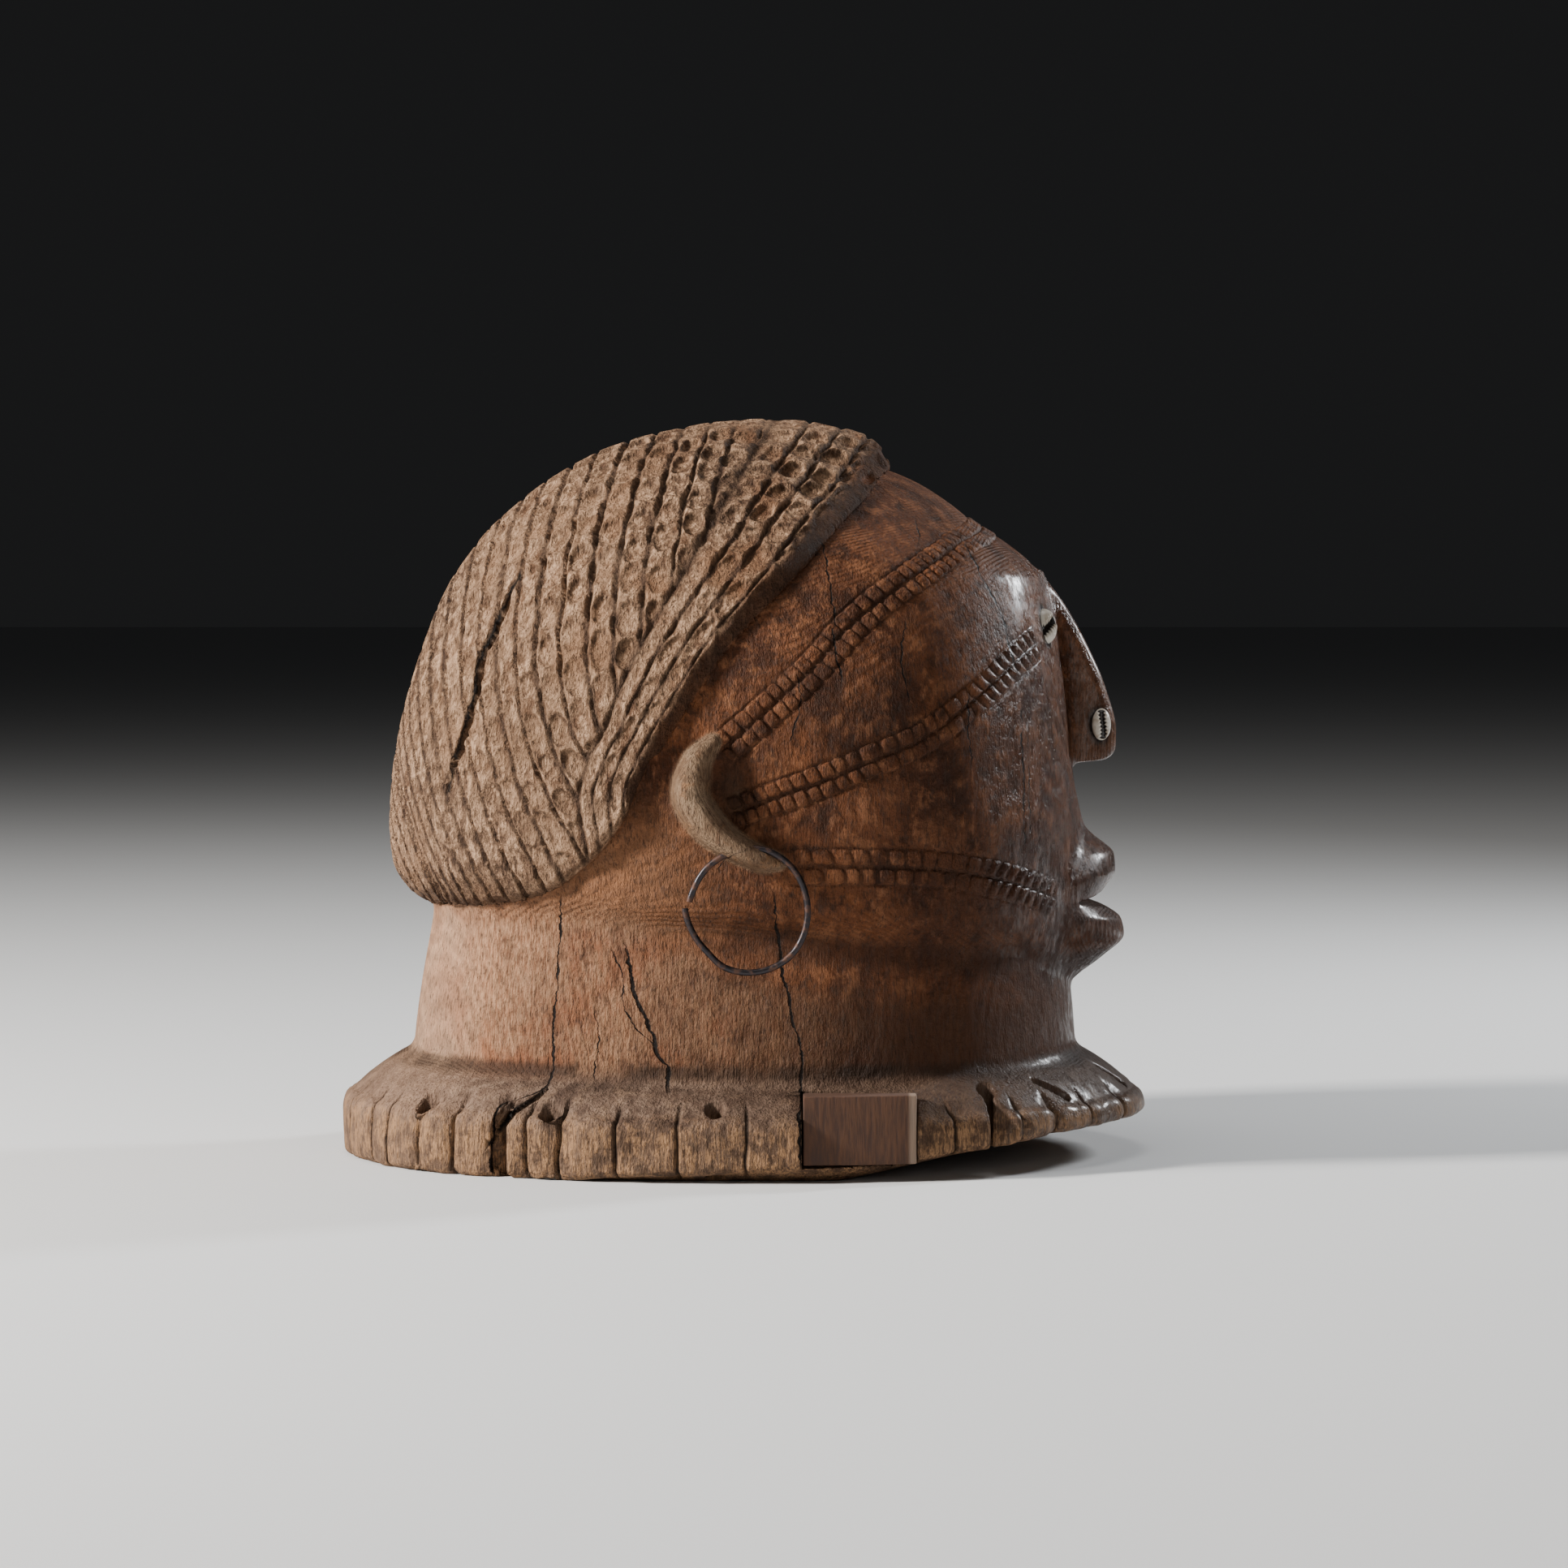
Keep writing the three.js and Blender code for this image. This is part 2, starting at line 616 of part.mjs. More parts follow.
function helmet() {
  let wood = collarAndNeck().add(scalp()).add(frontHair()).add(backHair());
  wood = wood.add(nose()).add(muzzle()).add(pair(ear()));
  wood = wood.add(band(BANDS.brow, -93, 93, 32));
  for (const side of [-1, 1]) {
    wood = wood.add(band(BANDS.cheek, 22 * side, 84 * side, 12));
    wood = wood.add(band(BANDS.jaw, 24 * side, 80 * side, 11));
  }
  wood = wood.subtract(cavity()).subtract(mouth()).subtract(frontLift()).subtract(insetBox(0));
  for (const [x, y] of HOLES) wood = wood.subtract(lacingHole(x, y)).subtract(lacingHole(x, -y));
  for (const worn of NOTCHES) wood = wood.subtract(notch(worn));
  wood = wood.subtract(pair(wireRing(EAR_RING.wire + GAP * 1.6)));
  for (const { spec, at, turn } of shellPlaces()) {
    for (const side of [-1, 1]) wood = wood.subtract(placed(shell(spec, GAP), at, turn, side));
  }
  return wood;
}

// The finished object
function meshOf(solid, name, material) {
  const { vertProperties, triVerts } = solid.getMesh();
  const geometry = new THREE.BufferGeometry();
  geometry.setAttribute('position', new THREE.BufferAttribute(vertProperties, 3));
  geometry.setIndex(new THREE.BufferAttribute(triVerts, 1));
  geometry.computeVertexNormals();
  const mesh = new THREE.Mesh(geometry, material);
  mesh.name = name;
  return mesh;
}

const material = (color, roughness, metalness) => new THREE.MeshStandardMaterial({ color, roughness, metalness });
const wood = material(0x6b4632, 0.75, 0);
const newWood = material(0x7a4f38, 0.8, 0);
const iron = material(0x2b2524, 0.5, 0.9);
const shellWhite = material(0xcdc4b4, 0.4, 0);

const mask = new THREE.Group();
mask.add(meshOf(helmet(), 'helmet', wood));
mask.add(meshOf(insetBox(GAP), 'collar_inset', newWood));
for (const [side, word] of [[-1, 'right'], [1, 'left']]) {
  const wire = wireRing(EAR_RING.wire);
  mask.add(meshOf(loft(side < 0 ? wire : mirrored(wire)), `${word}_ear_ring`, iron));
  for (const { name, spec, at, turn } of shellPlaces()) {
    mask.add(meshOf(placed(shell(spec, 0), at, turn, side), `${word}_${name}`, shellWhite));
  }
}

export default mask;
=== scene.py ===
# A hollow helmet mask carved from one block of wood: ridged hair, bands of raised squares,
# a slab nose and an open mouth, on a wide oval collar with wire ear rings and inlaid shells.
# The carving is worked out in millimetres, and Blender's own sizes are in metres.
from concurrent.futures import ThreadPoolExecutor

import bmesh
import bpy
import numpy as np
import openvdb
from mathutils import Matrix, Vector


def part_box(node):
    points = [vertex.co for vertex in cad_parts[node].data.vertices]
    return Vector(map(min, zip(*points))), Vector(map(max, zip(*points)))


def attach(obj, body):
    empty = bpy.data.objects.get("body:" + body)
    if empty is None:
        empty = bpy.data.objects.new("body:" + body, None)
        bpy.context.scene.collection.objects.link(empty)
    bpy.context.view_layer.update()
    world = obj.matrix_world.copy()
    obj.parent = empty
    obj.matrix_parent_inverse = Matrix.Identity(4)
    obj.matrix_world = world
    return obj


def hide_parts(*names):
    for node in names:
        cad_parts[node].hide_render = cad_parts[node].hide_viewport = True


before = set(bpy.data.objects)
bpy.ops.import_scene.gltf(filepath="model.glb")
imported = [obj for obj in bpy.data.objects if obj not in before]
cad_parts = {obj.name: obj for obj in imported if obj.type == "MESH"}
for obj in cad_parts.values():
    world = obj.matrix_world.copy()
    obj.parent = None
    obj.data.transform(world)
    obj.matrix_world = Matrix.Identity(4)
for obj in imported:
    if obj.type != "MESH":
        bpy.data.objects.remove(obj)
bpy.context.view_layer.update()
MM = 0.001

# Driving dimensions
WALL = 18
CROWN = 321.2
SCALP_TOP = 312.5
SQUARENESS = 2.3
NECK_TOP = 118

COLLAR = {
    "half_length": 175,
    "half_width": 142,
    "top_at_sides": 37.5,
    "top_at_ends": 46,
    "rim_top": 28.5,
    "slope_bulge": 1.4,
    "squareness": 2.15,
    "waves": [(4, 1.1, 0.6), (10, 0.8, 2)],
    "edge_round": 8,
    "flat_edge": 5,
    "worn_reach": 15,
    "all_below": 60,
}
# Height of the collar's underside over the floor along X, and how far its worn edge is above that
UNDERSIDE = [[40, 0], [62, 4], [86, 8.5], [113, 12.5], [134, 15.3], [182, 17.5]]
WORN_UNDER_RIGHT = [[-75, 0], [-40, 2.6], [0, 4.4], [45, 6.5], [84, 1.5], [115, 0.5]]
WORN_UNDER_LEFT = [[-120, 0], [-90, 1.8], [-30, 0.6], [20, 3.2], [70, 1.2], [115, 0.5]]

# Profiles by height: back, front and half width
HEAD = {
    "back": [[84, -130], [110, -134], [160, -146], [200, -140], [240, -124], [266, -106], [286, -84],
             [298, -60], [306, -36], [SCALP_TOP, 0]],
    "front": [[76, 142.5], [86, 145], [100, 146.8], [120, 147.5], [142, 147], [171, 143.6], [200, 140.5],
              [230, 136], [250, 131], [258, 125], [266.5, 114.5], [275, 101], [284, 89.5], [292.3, 76.5],
              [297, 66], [305, 40], [311, 14], [SCALP_TOP, 0]],
    "width": [[84, 110], [96, 116], [105, 120], [130, 124], [155, 126.5], [184, 126.5], [207, 123],
              [226, 117], [243, 109], [261, 97], [274, 84.5], [284, 72], [291.5, 61], [300, 46.5],
              [306.5, 31], [SCALP_TOP, 0.5]],
}
HAIR = {
    "back": [[104, -130], [110, -140], [118, -149], [128, -154], [142, -155.4], [160, -154.6], [185, -151],
             [205, -146], [224, -139.8], [237, -134.8], [250, -128.4], [262, -120], [271, -113],
             [280, -103.5], [288, -94], [296.5, -82], [303, -70.5], [308, -60], [313, -44.5],
             [316.5, -28.5], [319.4, -13], [CROWN, 6]],
    "front": [[104, 148], [240, 132], [262, 114], [279, 97], [296, 68], [301, 64], [306, 62], [311, 57.5],
              [315, 50.5], [317.5, 39], [319.5, 30], [CROWN, 12]],
    "width": [[104, 114], [114, 120], [130, 128], [155, 132.5], [182, 133], [206, 129.5], [226, 123],
              [246, 114.5], [261, 105], [274, 93.5], [286, 80], [297, 66], [306, 51], [312, 38],
              [317, 24], [CROWN, 0.5]],
}
NECK = {
    "back": [[0, -145], [37.5, -145], [NECK_TOP, -134]],
    "front": [[0, 145.6], [37.5, 145.6], [NECK_TOP, 138]],
    "width": [[0, 117.5], [37.5, 117.5], [NECK_TOP, 114]],
}
# The hollow under the head: how far its foot is inside the neck, and the wall that the face adds
HOLLOW_FOOT = 15
FACE_WALL = WALL + 3
HOLLOW_LEVELS = (150, 190, 225, 250, 268, 282, 292)

# Mouth: the block that the lips are cut from, by height, and the slot between them
MUZZLE_CENTRE = 118
MUZZLE_FRONT = [[75, 143.5], [86, 158.5], [95, 167], [102, 165.5], [107, 159.5], [111, 156.5], [114, 157.5],
                [123, 163], [130, 162.5], [138, 154], [143, 149], [158, 143]]
MUZZLE_HALF = [[75, 30], [86, 42], [95, 51], [102, 55], [107, 57], [111, 57.5], [114, 57], [123, 52],
               [130, 46], [138, 36], [143, 26], [158, 13]]
MUZZLE_TOP = 157
MUZZLE_BOTTOM = 75.5
MOUTH = {"middle": 110.6, "back": 134, "half": 50, "corner": 1.5}
MOUTH_OPEN = [[132, 0.8], [146, 2], [158, 3.6], [168, 6]]

# Nose: a slab that stands on the face, by height
NOSE_FOOT = 122
NOSE_TOP = 254
NOSE_UNDERSIDE = {"height": 168.8, "at": 130, "slope": 0.085}
NOSE_RIDGE = [[171.5, 160.5], [177, 163], [184, 163.2], [202, 159], [225, 149], [240, 140.5], [252, 132]]
NOSE_HALF = [[171.5, 9.5], [177, 9.5], [184, 9], [202, 7.5], [225, 5.5], [240, 4], [252, 2.5]]
NOSE_BASE = [[171.5, 16], [184, 16], [202, 14], [225, 11.5], [240, 9], [252, 6]]

# Lower edge of the jaw by angle from the middle of the face, in degrees
JAW_LINE = [[0, 76], [20, 82], [35, 95], [53, 102], [69, 106], [90, 108], [130, 114.5], [180, 115]]

# Hair rows: the border of the hair, the line where front rows meet back rows, the lower edge
HAIRLINE = [[131, -40], [159, -40], [177, -33], [204, -16], [222, -3], [243, 15.5], [258, 29.5],
            [275, 43.5], [290, 58], [298, 64], [322, 84]]
MEETING_LINE = [[104, -62], [131, -64], [159, -68], [175, -64], [188, -57], [199, -53], [217, -45],
                [253, -24.4], [275, -12], [300, 2], [322, 15]]
HAIR_BOTTOM = [[-160, 106], [-124, 108.5], [-110, 109.5], [-90, 114], [-79, 119], [-72, 124], [-64, 131],
               [-58, 137], [-50, 148], [-44, 160], [-38, 174]]
HAIR_EDGE_DROP = [[165, 5.4], [200, 5], [240, 4.2], [270, 2.8], [290, 0.8], [297, 0]]
# The front rows lie by their share of the way to the meeting line. The back rows are a pitch apart at one
# level, and bow forwards above and below the height at which they stand upright
FIRST_FRONT_GROOVE = 0.32
FRONT_PITCH = 0.2267
FRONT_SLANT = 0.86
ROW_PITCH = 11.4
ROWS_LEVEL = 175.0
BACK_ROWS_START = -4
LOWEST_ROW = 112
BOW_HEIGHT = 222
BOW_ABOVE = 560
BOW_BELOW = 240
BOW_SHARE = [[-185, 0.55], [-128, 0.6], [-105, 0.73], [-95, 0.92], [-85, 1.12], [-75, 1.3], [-50, 1.4]]
GROOVE_DEPTH = 2.9
GROOVE_HALF = 1.15
# Rimmed cells in the plain border by the crown: height, and place to the side
BORDER_CELLS = [[301, 7], [293.5, 24], [291, -24], [284, 48], [283, -47], [302.5, -8]]
# The dimples follow one another over the crown, along an arc that is a little flat on top
DIMPLE = {"spacing": 17.6, "along": 7.8, "across": 4.9, "depth": 2.3, "from_height": 120, "radius": 166,
          "flatness": 17}

# Raised bands: height of the middle groove by angle from the middle of the face, in degrees
BANDS = {
    "brow": {"half": 7, "ends": (-94, 94), "squares_from": 38, "height": 3.3, "pitch": 6.0,
             "path": [[0, 273.5], [13, 272.1], [32, 267], [45, 258.3], [59, 243.5], [68, 230.5],
                      [76, 213.5], [86, 194], [94, 178.5]]},
    "cheek": {"half": 6.8, "ends": (24, 92), "squares_from": 47, "height": 3.1, "pitch": 6.6,
              "path": [[21.5, 225.5], [32, 216.5], [45, 199.5], [57, 182.6], [66, 174.3], [75, 166],
                       [84, 159], [92, 153]]},
    "jaw": {"half": 7.4, "ends": (24, 82), "squares_from": 46, "height": 3.0, "pitch": 7.2,
            "path": [[24, 113], [28, 115.8], [33, 119], [38, 122], [44, 125.2], [50, 127.8],
                     [57, 129.4], [66, 130.2], [82, 130.6]]},
}
CRESCENT_PITCH = 5.8

# Ears: centre line, half width in its own plane, how far it stands out
EAR = {
    "x": [-12, -19, -21.5, -17, -9, 1, 9, 15],
    "z": [182.5, 173.5, 162, 151.5, 143, 137, 133.5, 132.5],
    "half": [3, 6, 7.5, 7.5, 6.5, 5.5, 4.8, 3],
    "out": [4, 9, 12, 13, 13.5, 13, 12, 8],
}
EAR_ROOT = 3
# The hollow inside the ear's loop, and a box round each ear
EAR_HOLLOW = {"x": -3, "z": 161, "half_length": 8, "half_height": 17, "depth": 3.5}
EAR_BOX = {"x": -3, "z": 157, "half_length": 34, "half_height": 40, "from_y": 95}

# Wire rings: bent by hand, so the radius changes round the turn, in degrees
RING = {"x": 2.5, "z": 113.5, "y": 133.5, "wire": 1.35, "lean": 2.4, "start": 179, "end": 533}
RING_STEPS = 120
RING_RADIUS = [[179, 26], [203, 24.6], [225, 24.4], [248, 25.8], [285, 26.4], [315, 26], [345, 25.2],
               [372, 24.6], [415, 25.4], [450, 25.2], [488, 23.9], [512, 23.8], [533, 24.4]]

# Shells: where they sit, how far they are turned from the front, half width, height and thickness, and
# the turn of the slit
EYE_SHELL = {"angle": 18, "z": 230, "turned": 56, "size": (5.2, 7.6, 4.4), "slit": 20}
NOSE_SHELL = {"x": 156.2, "y": 13.2, "z": 187, "turned": 74, "size": (4.3, 7, 3.2), "slit": 90}
RESIN_REACH = 3.2
RESIN_FARTHEST = 18

# The block let into the collar, the lacing holes (mirrored), the slots (from, to) beside them, and the
# notches in its edge: angle in degrees, depth and half width
INSET = {"x0": 25, "x1": 73, "bottom": 7, "top": 36.5, "depth": 19, "set_back": 3, "skew": 7}
HOLES = [[-133, 90], [-80, 121], [-11, 133], [102, 103]]
HOLE_RADIUS = 4.1
SLOT_RADIUS = 1.8
SLOT_FLOOR = 20
SLOTS = [[[124, -84], [137, -81]], [[153, -31], [165, -24]], [[128, 76], [138, 64]]]
NOTCHES = [[-131, 9, 2.2], [-46, 10, 4.5], [52, 8, 3], [141, 9, 2.6]]
# Worn splits of the rim: side (-1 right, 1 left), place along X, depth, half width
RIM_SPLITS = [
    [-1, -171, 1.6, 2], [-1, -160, 1.6, 1.6], [-1, -152, 1.2, 1.4], [-1, -138, 2.5, 1.9], [-1, -123, 4, 1.8],
    [-1, -104.5, 5, 2.4], [-1, -91, 3, 1.8], [-1, -77, 5, 3], [-1, -53, 2.8, 5.5], [-1, -27, 1.6, 3.5],
    [-1, 2, 1, 4.5], [-1, 90, 1.4, 4], [-1, 119, 1.6, 1.6], [-1, 135, 4.6, 1.8],
    [-1, 150, 2, 1.6], [-1, 166, 3, 2], [1, -168, 3.4, 1.8], [1, -149, 2.2, 2.6], [1, -133, 4, 1.8],
    [1, -118, 2.4, 3], [1, -88, 3.4, 2], [1, -63, 1.8, 4], [1, -41, 4.4, 1.6], [1, -12, 2.2, 2.4],
    [1, 17, 3, 1.8], [1, 44, 1.8, 4.5], [1, 71, 3.8, 1.7], [1, 104, 2.2, 2.6], [1, 126, 4.2, 1.8],
    [1, 147, 2, 2], [1, 163, 3, 1.8],
]

# Wide cracks: side (-1 right, 1 left), half width, depth, and the points (x, z) that they run through
CRACKS = [
    [-1, 1.3, 4.6, [[-94, 252], [-98, 244], [-102, 236], [-107, 225], [-111, 214], [-112.5, 205],
                    [-116, 188], [-118.5, 178], [-122, 171], [-124, 160]]],
    [-1, 0.9, 3, [[-106, 14], [-101, 21], [-95, 28], [-88, 32.5], [-82, 37]]],
    [1, 1.2, 4, [[-60, 250], [-66, 232], [-68, 215], [-75, 196], [-78, 182]]],
    [1, 1.0, 3, [[-118, 106], [-121, 80], [-120, 58], [-124, 44]]],
]
# Hairline cracks, drawn by the wood's material: side, half width, and the points (z, x) going up
FINE_CRACKS = [
    [-1, 0.5, [[0, -104.5], [20, -104], [29, -102], [33, -92], [38, -82], [60, -79.5], [86, -77.5],
               [118, -76]]],
    [-1, 0.55, [[6, 24], [37, 24.5], [50, 25], [68, 21], [98, 15.5], [121, 13.5]]],
    [-1, 0.75, [[36, -30.5], [45, -31], [53, -35.5], [61, -38], [75, -44.5], [88, -47], [99, -49]]],
    [-1, 0.45, [[214, 115], [222, 113], [230, 111], [241, 107], [252, 101], [266, 95]]],
    [-1, 0.3, [[52, -34], [60, -42], [72, -49.5], [84, -50], [96, -55]]],
    [-1, 0.28, [[40, -62], [58, -60], [70, -61.5]]],
    [-1, 0.4, [[206, 41.5], [222, 38.5], [240, 38.2], [251, 36.5], [263, 34], [268, 31]]],
    [-1, 0.35, [[264, 74.2], [270, 75], [276.5, 73.2]]],
    [-1, 0.25, [[199, 69.6], [216, 66.5], [234, 68.2]]],
    [-1, 0.3, [[138, 119.4], [170, 119], [197, 118]]],
    [-1, 0.22, [[142, 122.4], [160, 121.6], [186, 121.2]]],
    [-1, 0.25, [[172, 96], [190, 94.5], [204, 95.5]]],
    [-1, 0.4, [[128, -10], [133, -7], [137, -2], [138.5, 3]]],
    [-1, 0.25, [[182, 20], [196, 24], [212, 23]]],
    [1, 0.4, [[4, -22], [37, -26], [60, -22], [86, -24], [112, -20]]],
    [1, 0.4, [[30, 60], [38, 62], [58, 63], [82, 58], [108, 60]]],
    [1, 0.4, [[226, 99], [245, 97], [262, 88]]],
    [1, 0.35, [[186, 53], [200, 55], [222, 52]]],
    [1, 0.3, [[130, 104], [158, 107], [184, 105]]],
]
CRACK_WANDER = 1.5
# What a fine crack's curve covers: the height from the floor, and X to both sides, in metres
CURVE_HEIGHT = 0.33
CURVE_REACH = 0.2

# Camera, floor and lights, in metres, and the lens in millimetres. A light has its place, size, power
# and colour
LENS = 114.9
CAMERA_PLACE = (0.0175, -2.2, 0.242)
CAMERA_TARGET = (0.0175, 0.0, 0.1604)
FLOOR_HALF = 40.0
LIGHT_TARGET = (0, 0, 0.17)
LIGHTS = {
    "key": ((-2.15, -0.76, 1.2), (0.35, 0.35), 165, (1.0, 0.965, 0.92)),
    "sky": ((-0.2, -0.2, 2.6), (1.6, 1.6), 23, (1.0, 0.99, 0.97)),
    "fill": ((0.9, -2.3, 0.7), (1.0, 1.0), 6, (1.0, 0.95, 0.9)),
    "edge": ((1.45, 0.9, 0.95), (0.2, 0.4), 30, (0.94, 0.97, 1.0)),
}

# The lines that the bands follow, and the meshes
LINE_POINTS = 900
HALVINGS = 40
LINE_STEP = 0.5
LINE_STRIDE = 6
CELL = 1.2
BLOCK = 4
NEAR_SHARE = 1.12
MOST_TRIANGLES = 192000
MARGIN = 6
HAIR_LOW = np.array([-162.0, -142.0, 98.0])
HAIR_HIGH = np.array([92.0, 142.0, 327.0])
CHUNK = 200000
WORKERS = 4
# The slope of a distance is felt over this step, and a point is settled by this much at most
PROBE = 0.3
FARTHEST = 0.6
# Where the rim, the nose's ridge and the lips get a fine mesh
FINE_RIM = {"inset": 14, "top": 42}
FINE_RIDGE = {"depth": 8, "bottom": 166, "top": 252, "half_width": 13}
FINE_LIPS = {"from_x": 128, "bottom": 84, "top": 132, "half_width": 60}
# How long the edges of the rough meshes may be, before they are thinned
EDGE = {"plain": 9.0, "rim": 1.0, "band": 0.65, "face": 1.0, "crack": 0.75, "shell": 0.8, "row": 0.85,
        "row_crack": 0.7}
FAR = 60.0
SEED = 11

rng = np.random.default_rng(SEED)
LATTICE = rng.uniform(-1, 1, (32, 32, 32))
CHANCE = rng.uniform(-1, 1, 1024)
CHANCE_STEPS = (73, 149, 311)


# Numbers and curves
def ramp(low, high, x):
    """From 0 at low to 1 at high, which may be the lower of the two, with soft ends."""
    t = np.clip((x - low) / (high - low), 0, 1)
    return t * t * (3 - 2 * t)


def run_along(steps):
    """How far along a line each of its points is, from the lengths between them."""
    return np.concatenate([[0], np.cumsum(steps)])


def hump(x, middle, reach):
    """1 at the middle, falling softly to 0 on both sides."""
    return np.exp(-((x - middle) / reach) ** 2)


def curve(keys, step=0.25):
    """A smooth curve through (place, value) pairs that never overshoots them."""
    place, value = np.array(keys, float).T
    slope = np.diff(value) / np.diff(place)
    tangent = np.empty_like(value)
    tangent[0] = slope[0]
    tangent[-1] = slope[-1]
    both = slope[:-1] * slope[1:]
    total = np.where(both > 0, slope[:-1] + slope[1:], 1)
    tangent[1:-1] = np.where(both > 0, 2 * both / total, 0)
    fine = np.arange(place[0], place[-1] + step, step)
    i = np.clip(np.searchsorted(place, fine, side="right") - 1, 0, len(place) - 2)
    width = place[i + 1] - place[i]
    t = np.clip((fine - place[i]) / width, 0, 1)
    back = (1 - t) ** 2
    values = (value[i] * (1 + 2 * t) * back + tangent[i] * width * t * back
              + value[i + 1] * t * t * (3 - 2 * t) - tangent[i + 1] * width * t * t * (1 - t))
    return lambda x: np.interp(x, fine, values)


def noise(points, scale, shift=0.0):
    """Smooth noise from -1 to 1, with features of about the given size, or of one size for each axis."""
    q = points / np.array(scale, float) + shift
    base = np.floor(q).astype(np.int64)
    t = q - base
    t = t * t * (3 - 2 * t)
    low = base % len(LATTICE)
    high = (base + 1) % len(LATTICE)
    total = 0
    for corner in range(8):
        ends = [(corner >> axis) & 1 for axis in range(3)]
        index = [high[:, axis] if ends[axis] else low[:, axis] for axis in range(3)]
        share = 1
        for axis in range(3):
            share = share * (t[:, axis] if ends[axis] else 1 - t[:, axis])
        total = total + share * LATTICE[index[0], index[1], index[2]]
    return total


def chance(*numbers):
    """A number from -1 to 1 that is fixed for each set of whole numbers."""
    total = 0
    for i, number in enumerate(numbers):
        total = total + np.asarray(number).astype(np.int64) * CHANCE_STEPS[i]
    return CHANCE[total % len(CHANCE)]


# Solids, as distances in millimetres that are negative inside
def join(a, b, blend):
    h = np.maximum(blend - np.abs(a - b), 0) / blend
    return np.minimum(a, b) - h * h * blend / 4


def meet(a, b, blend):
    return -join(-a, -b, blend)


def cut(a, b, blend):
    return meet(a, -b, blend)


class Oval:
    """A body whose level sections are squared ovals."""

    STEP = 0.5

    def __init__(self, back, front, width):
        self.low = max(keys[0][0] for keys in (back, front, width))
        self.high = min(keys[-1][0] for keys in (back, front, width))
        heights = np.arange(self.low, self.high + self.STEP / 2, self.STEP)
        rear = curve(back)(heights)
        face = curve(front)(heights)
        sizes = np.stack([(rear + face) / 2, np.maximum((face - rear) / 2, 1), curve(width)(heights)], 1)
        self.table = np.hstack([sizes, np.gradient(sizes, self.STEP, axis=0)])

    def at(self, z):
        """Centre, reach and half width at these heights, and how fast each changes."""
        place = np.clip((z - self.low) / self.STEP, 0, len(self.table) - 1.001)
        i = place.astype(np.int64)
        t = (place - i)[:, None]
        return (self.table[i] * (1 - t) + self.table[i + 1] * t).T

    def half_width(self, x, z):
        centre, reach, half = self.at(np.atleast_1d(np.asarray(z, float)))[:3]
        along = np.clip(np.abs(x - centre) / reach, 0, 1)
        return half * (1 - along ** SQUARENESS) ** (1 / SQUARENESS)

    def distance(self, x, y, z):
        centre, reach, half, d_centre, d_reach, d_half = self.at(z)
        dx = x - centre
        along = np.abs(dx) / reach
        across = np.abs(y) / half
        along_less = along ** (SQUARENESS - 1)
        across_less = across ** (SQUARENESS - 1)
        size = (along_less * along + across_less * across + 1e-9) ** (1 / SQUARENESS)
        gx = along_less / reach
        gy = across_less / half
        gz = -gx * (np.sign(dx) * d_centre + along * d_reach) - gy * across * d_half
        slope = size ** (1 - SQUARENESS) * np.sqrt(gx * gx + gy * gy + gz * gz)
        return np.maximum((size - 1) / np.maximum(slope, 1e-4), z - self.high)


head_body = Oval(**HEAD)
hair_body = Oval(**HAIR)
neck_body = Oval(**NECK)
muzzle_body = Oval([[z, 2 * MUZZLE_CENTRE - x] for z, x in MUZZLE_FRONT], MUZZLE_FRONT, MUZZLE_HALF)
hairline = curve(HAIRLINE)
meeting_line = curve(MEETING_LINE)
hair_bottom = curve(HAIR_BOTTOM)
edge_drop = curve(HAIR_EDGE_DROP)
bow_share = curve(BOW_SHARE)
jaw_line = curve(JAW_LINE)
underside = curve(UNDERSIDE)
worn_right = curve(WORN_UNDER_RIGHT)
worn_left = curve(WORN_UNDER_LEFT)
nose_ridge = curve(NOSE_RIDGE)
nose_half = curve(NOSE_HALF)
nose_base = curve(NOSE_BASE)
mouth_open = curve(MOUTH_OPEN)


def hollow_body():
    """The hollow: the neck's straight part, then the head less the wall."""
    keys = {}
    for name, wall in (("back", -WALL), ("front", FACE_WALL), ("width", WALL)):
        foot = NECK[name][0][1] - np.sign(wall) * HOLLOW_FOOT
        top = NECK[name][-1][1] - wall
        head = curve(HEAD[name])
        keys[name] = [[-4, foot], [60, top], [108, top]]
        keys[name] += [[z, float(head(z + WALL - 4)) - wall] for z in HOLLOW_LEVELS]
    return Oval(**keys)


hollow = hollow_body()

TURNS = np.radians(np.arange(-180, 180.5, 0.5))


def oval_outline(half_length, half_width, power):
    """How far a squared oval reaches in plan, at each of the turns."""
    wide = np.abs(np.cos(TURNS)) / half_length
    deep = np.abs(np.sin(TURNS)) / half_width
    return (wide ** power + deep ** power) ** (-1 / power)


COLLAR_OUTLINE = oval_outline(COLLAR["half_length"], COLLAR["half_width"], COLLAR["squareness"])
for waves, rise, shift in COLLAR["waves"]:
    COLLAR_OUTLINE = COLLAR_OUTLINE + rise * np.sin(waves * TURNS + shift)
NECK_HALF_LENGTH = (NECK["front"][0][1] - NECK["back"][0][1]) / 2
NECK_OUTLINE = oval_outline(NECK_HALF_LENGTH, NECK["width"][0][1], SQUARENESS)


def rim_inset(x, y):
    """How far each point lies in from the collar's edge, in plan."""
    return np.interp(np.arctan2(y, x), TURNS, COLLAR_OUTLINE) - np.hypot(x, y)


def share_of_front(x, z):
    """0 at the hairline and 1 where the front rows meet the back rows."""
    border = hairline(z)
    return (border - x) / (border - meeting_line(z))


def head_distance(x, y, z):
    turn = np.degrees(np.arctan2(np.abs(y), x))
    return meet(head_body.distance(x, y, z), jaw_line(turn) - z, 8)


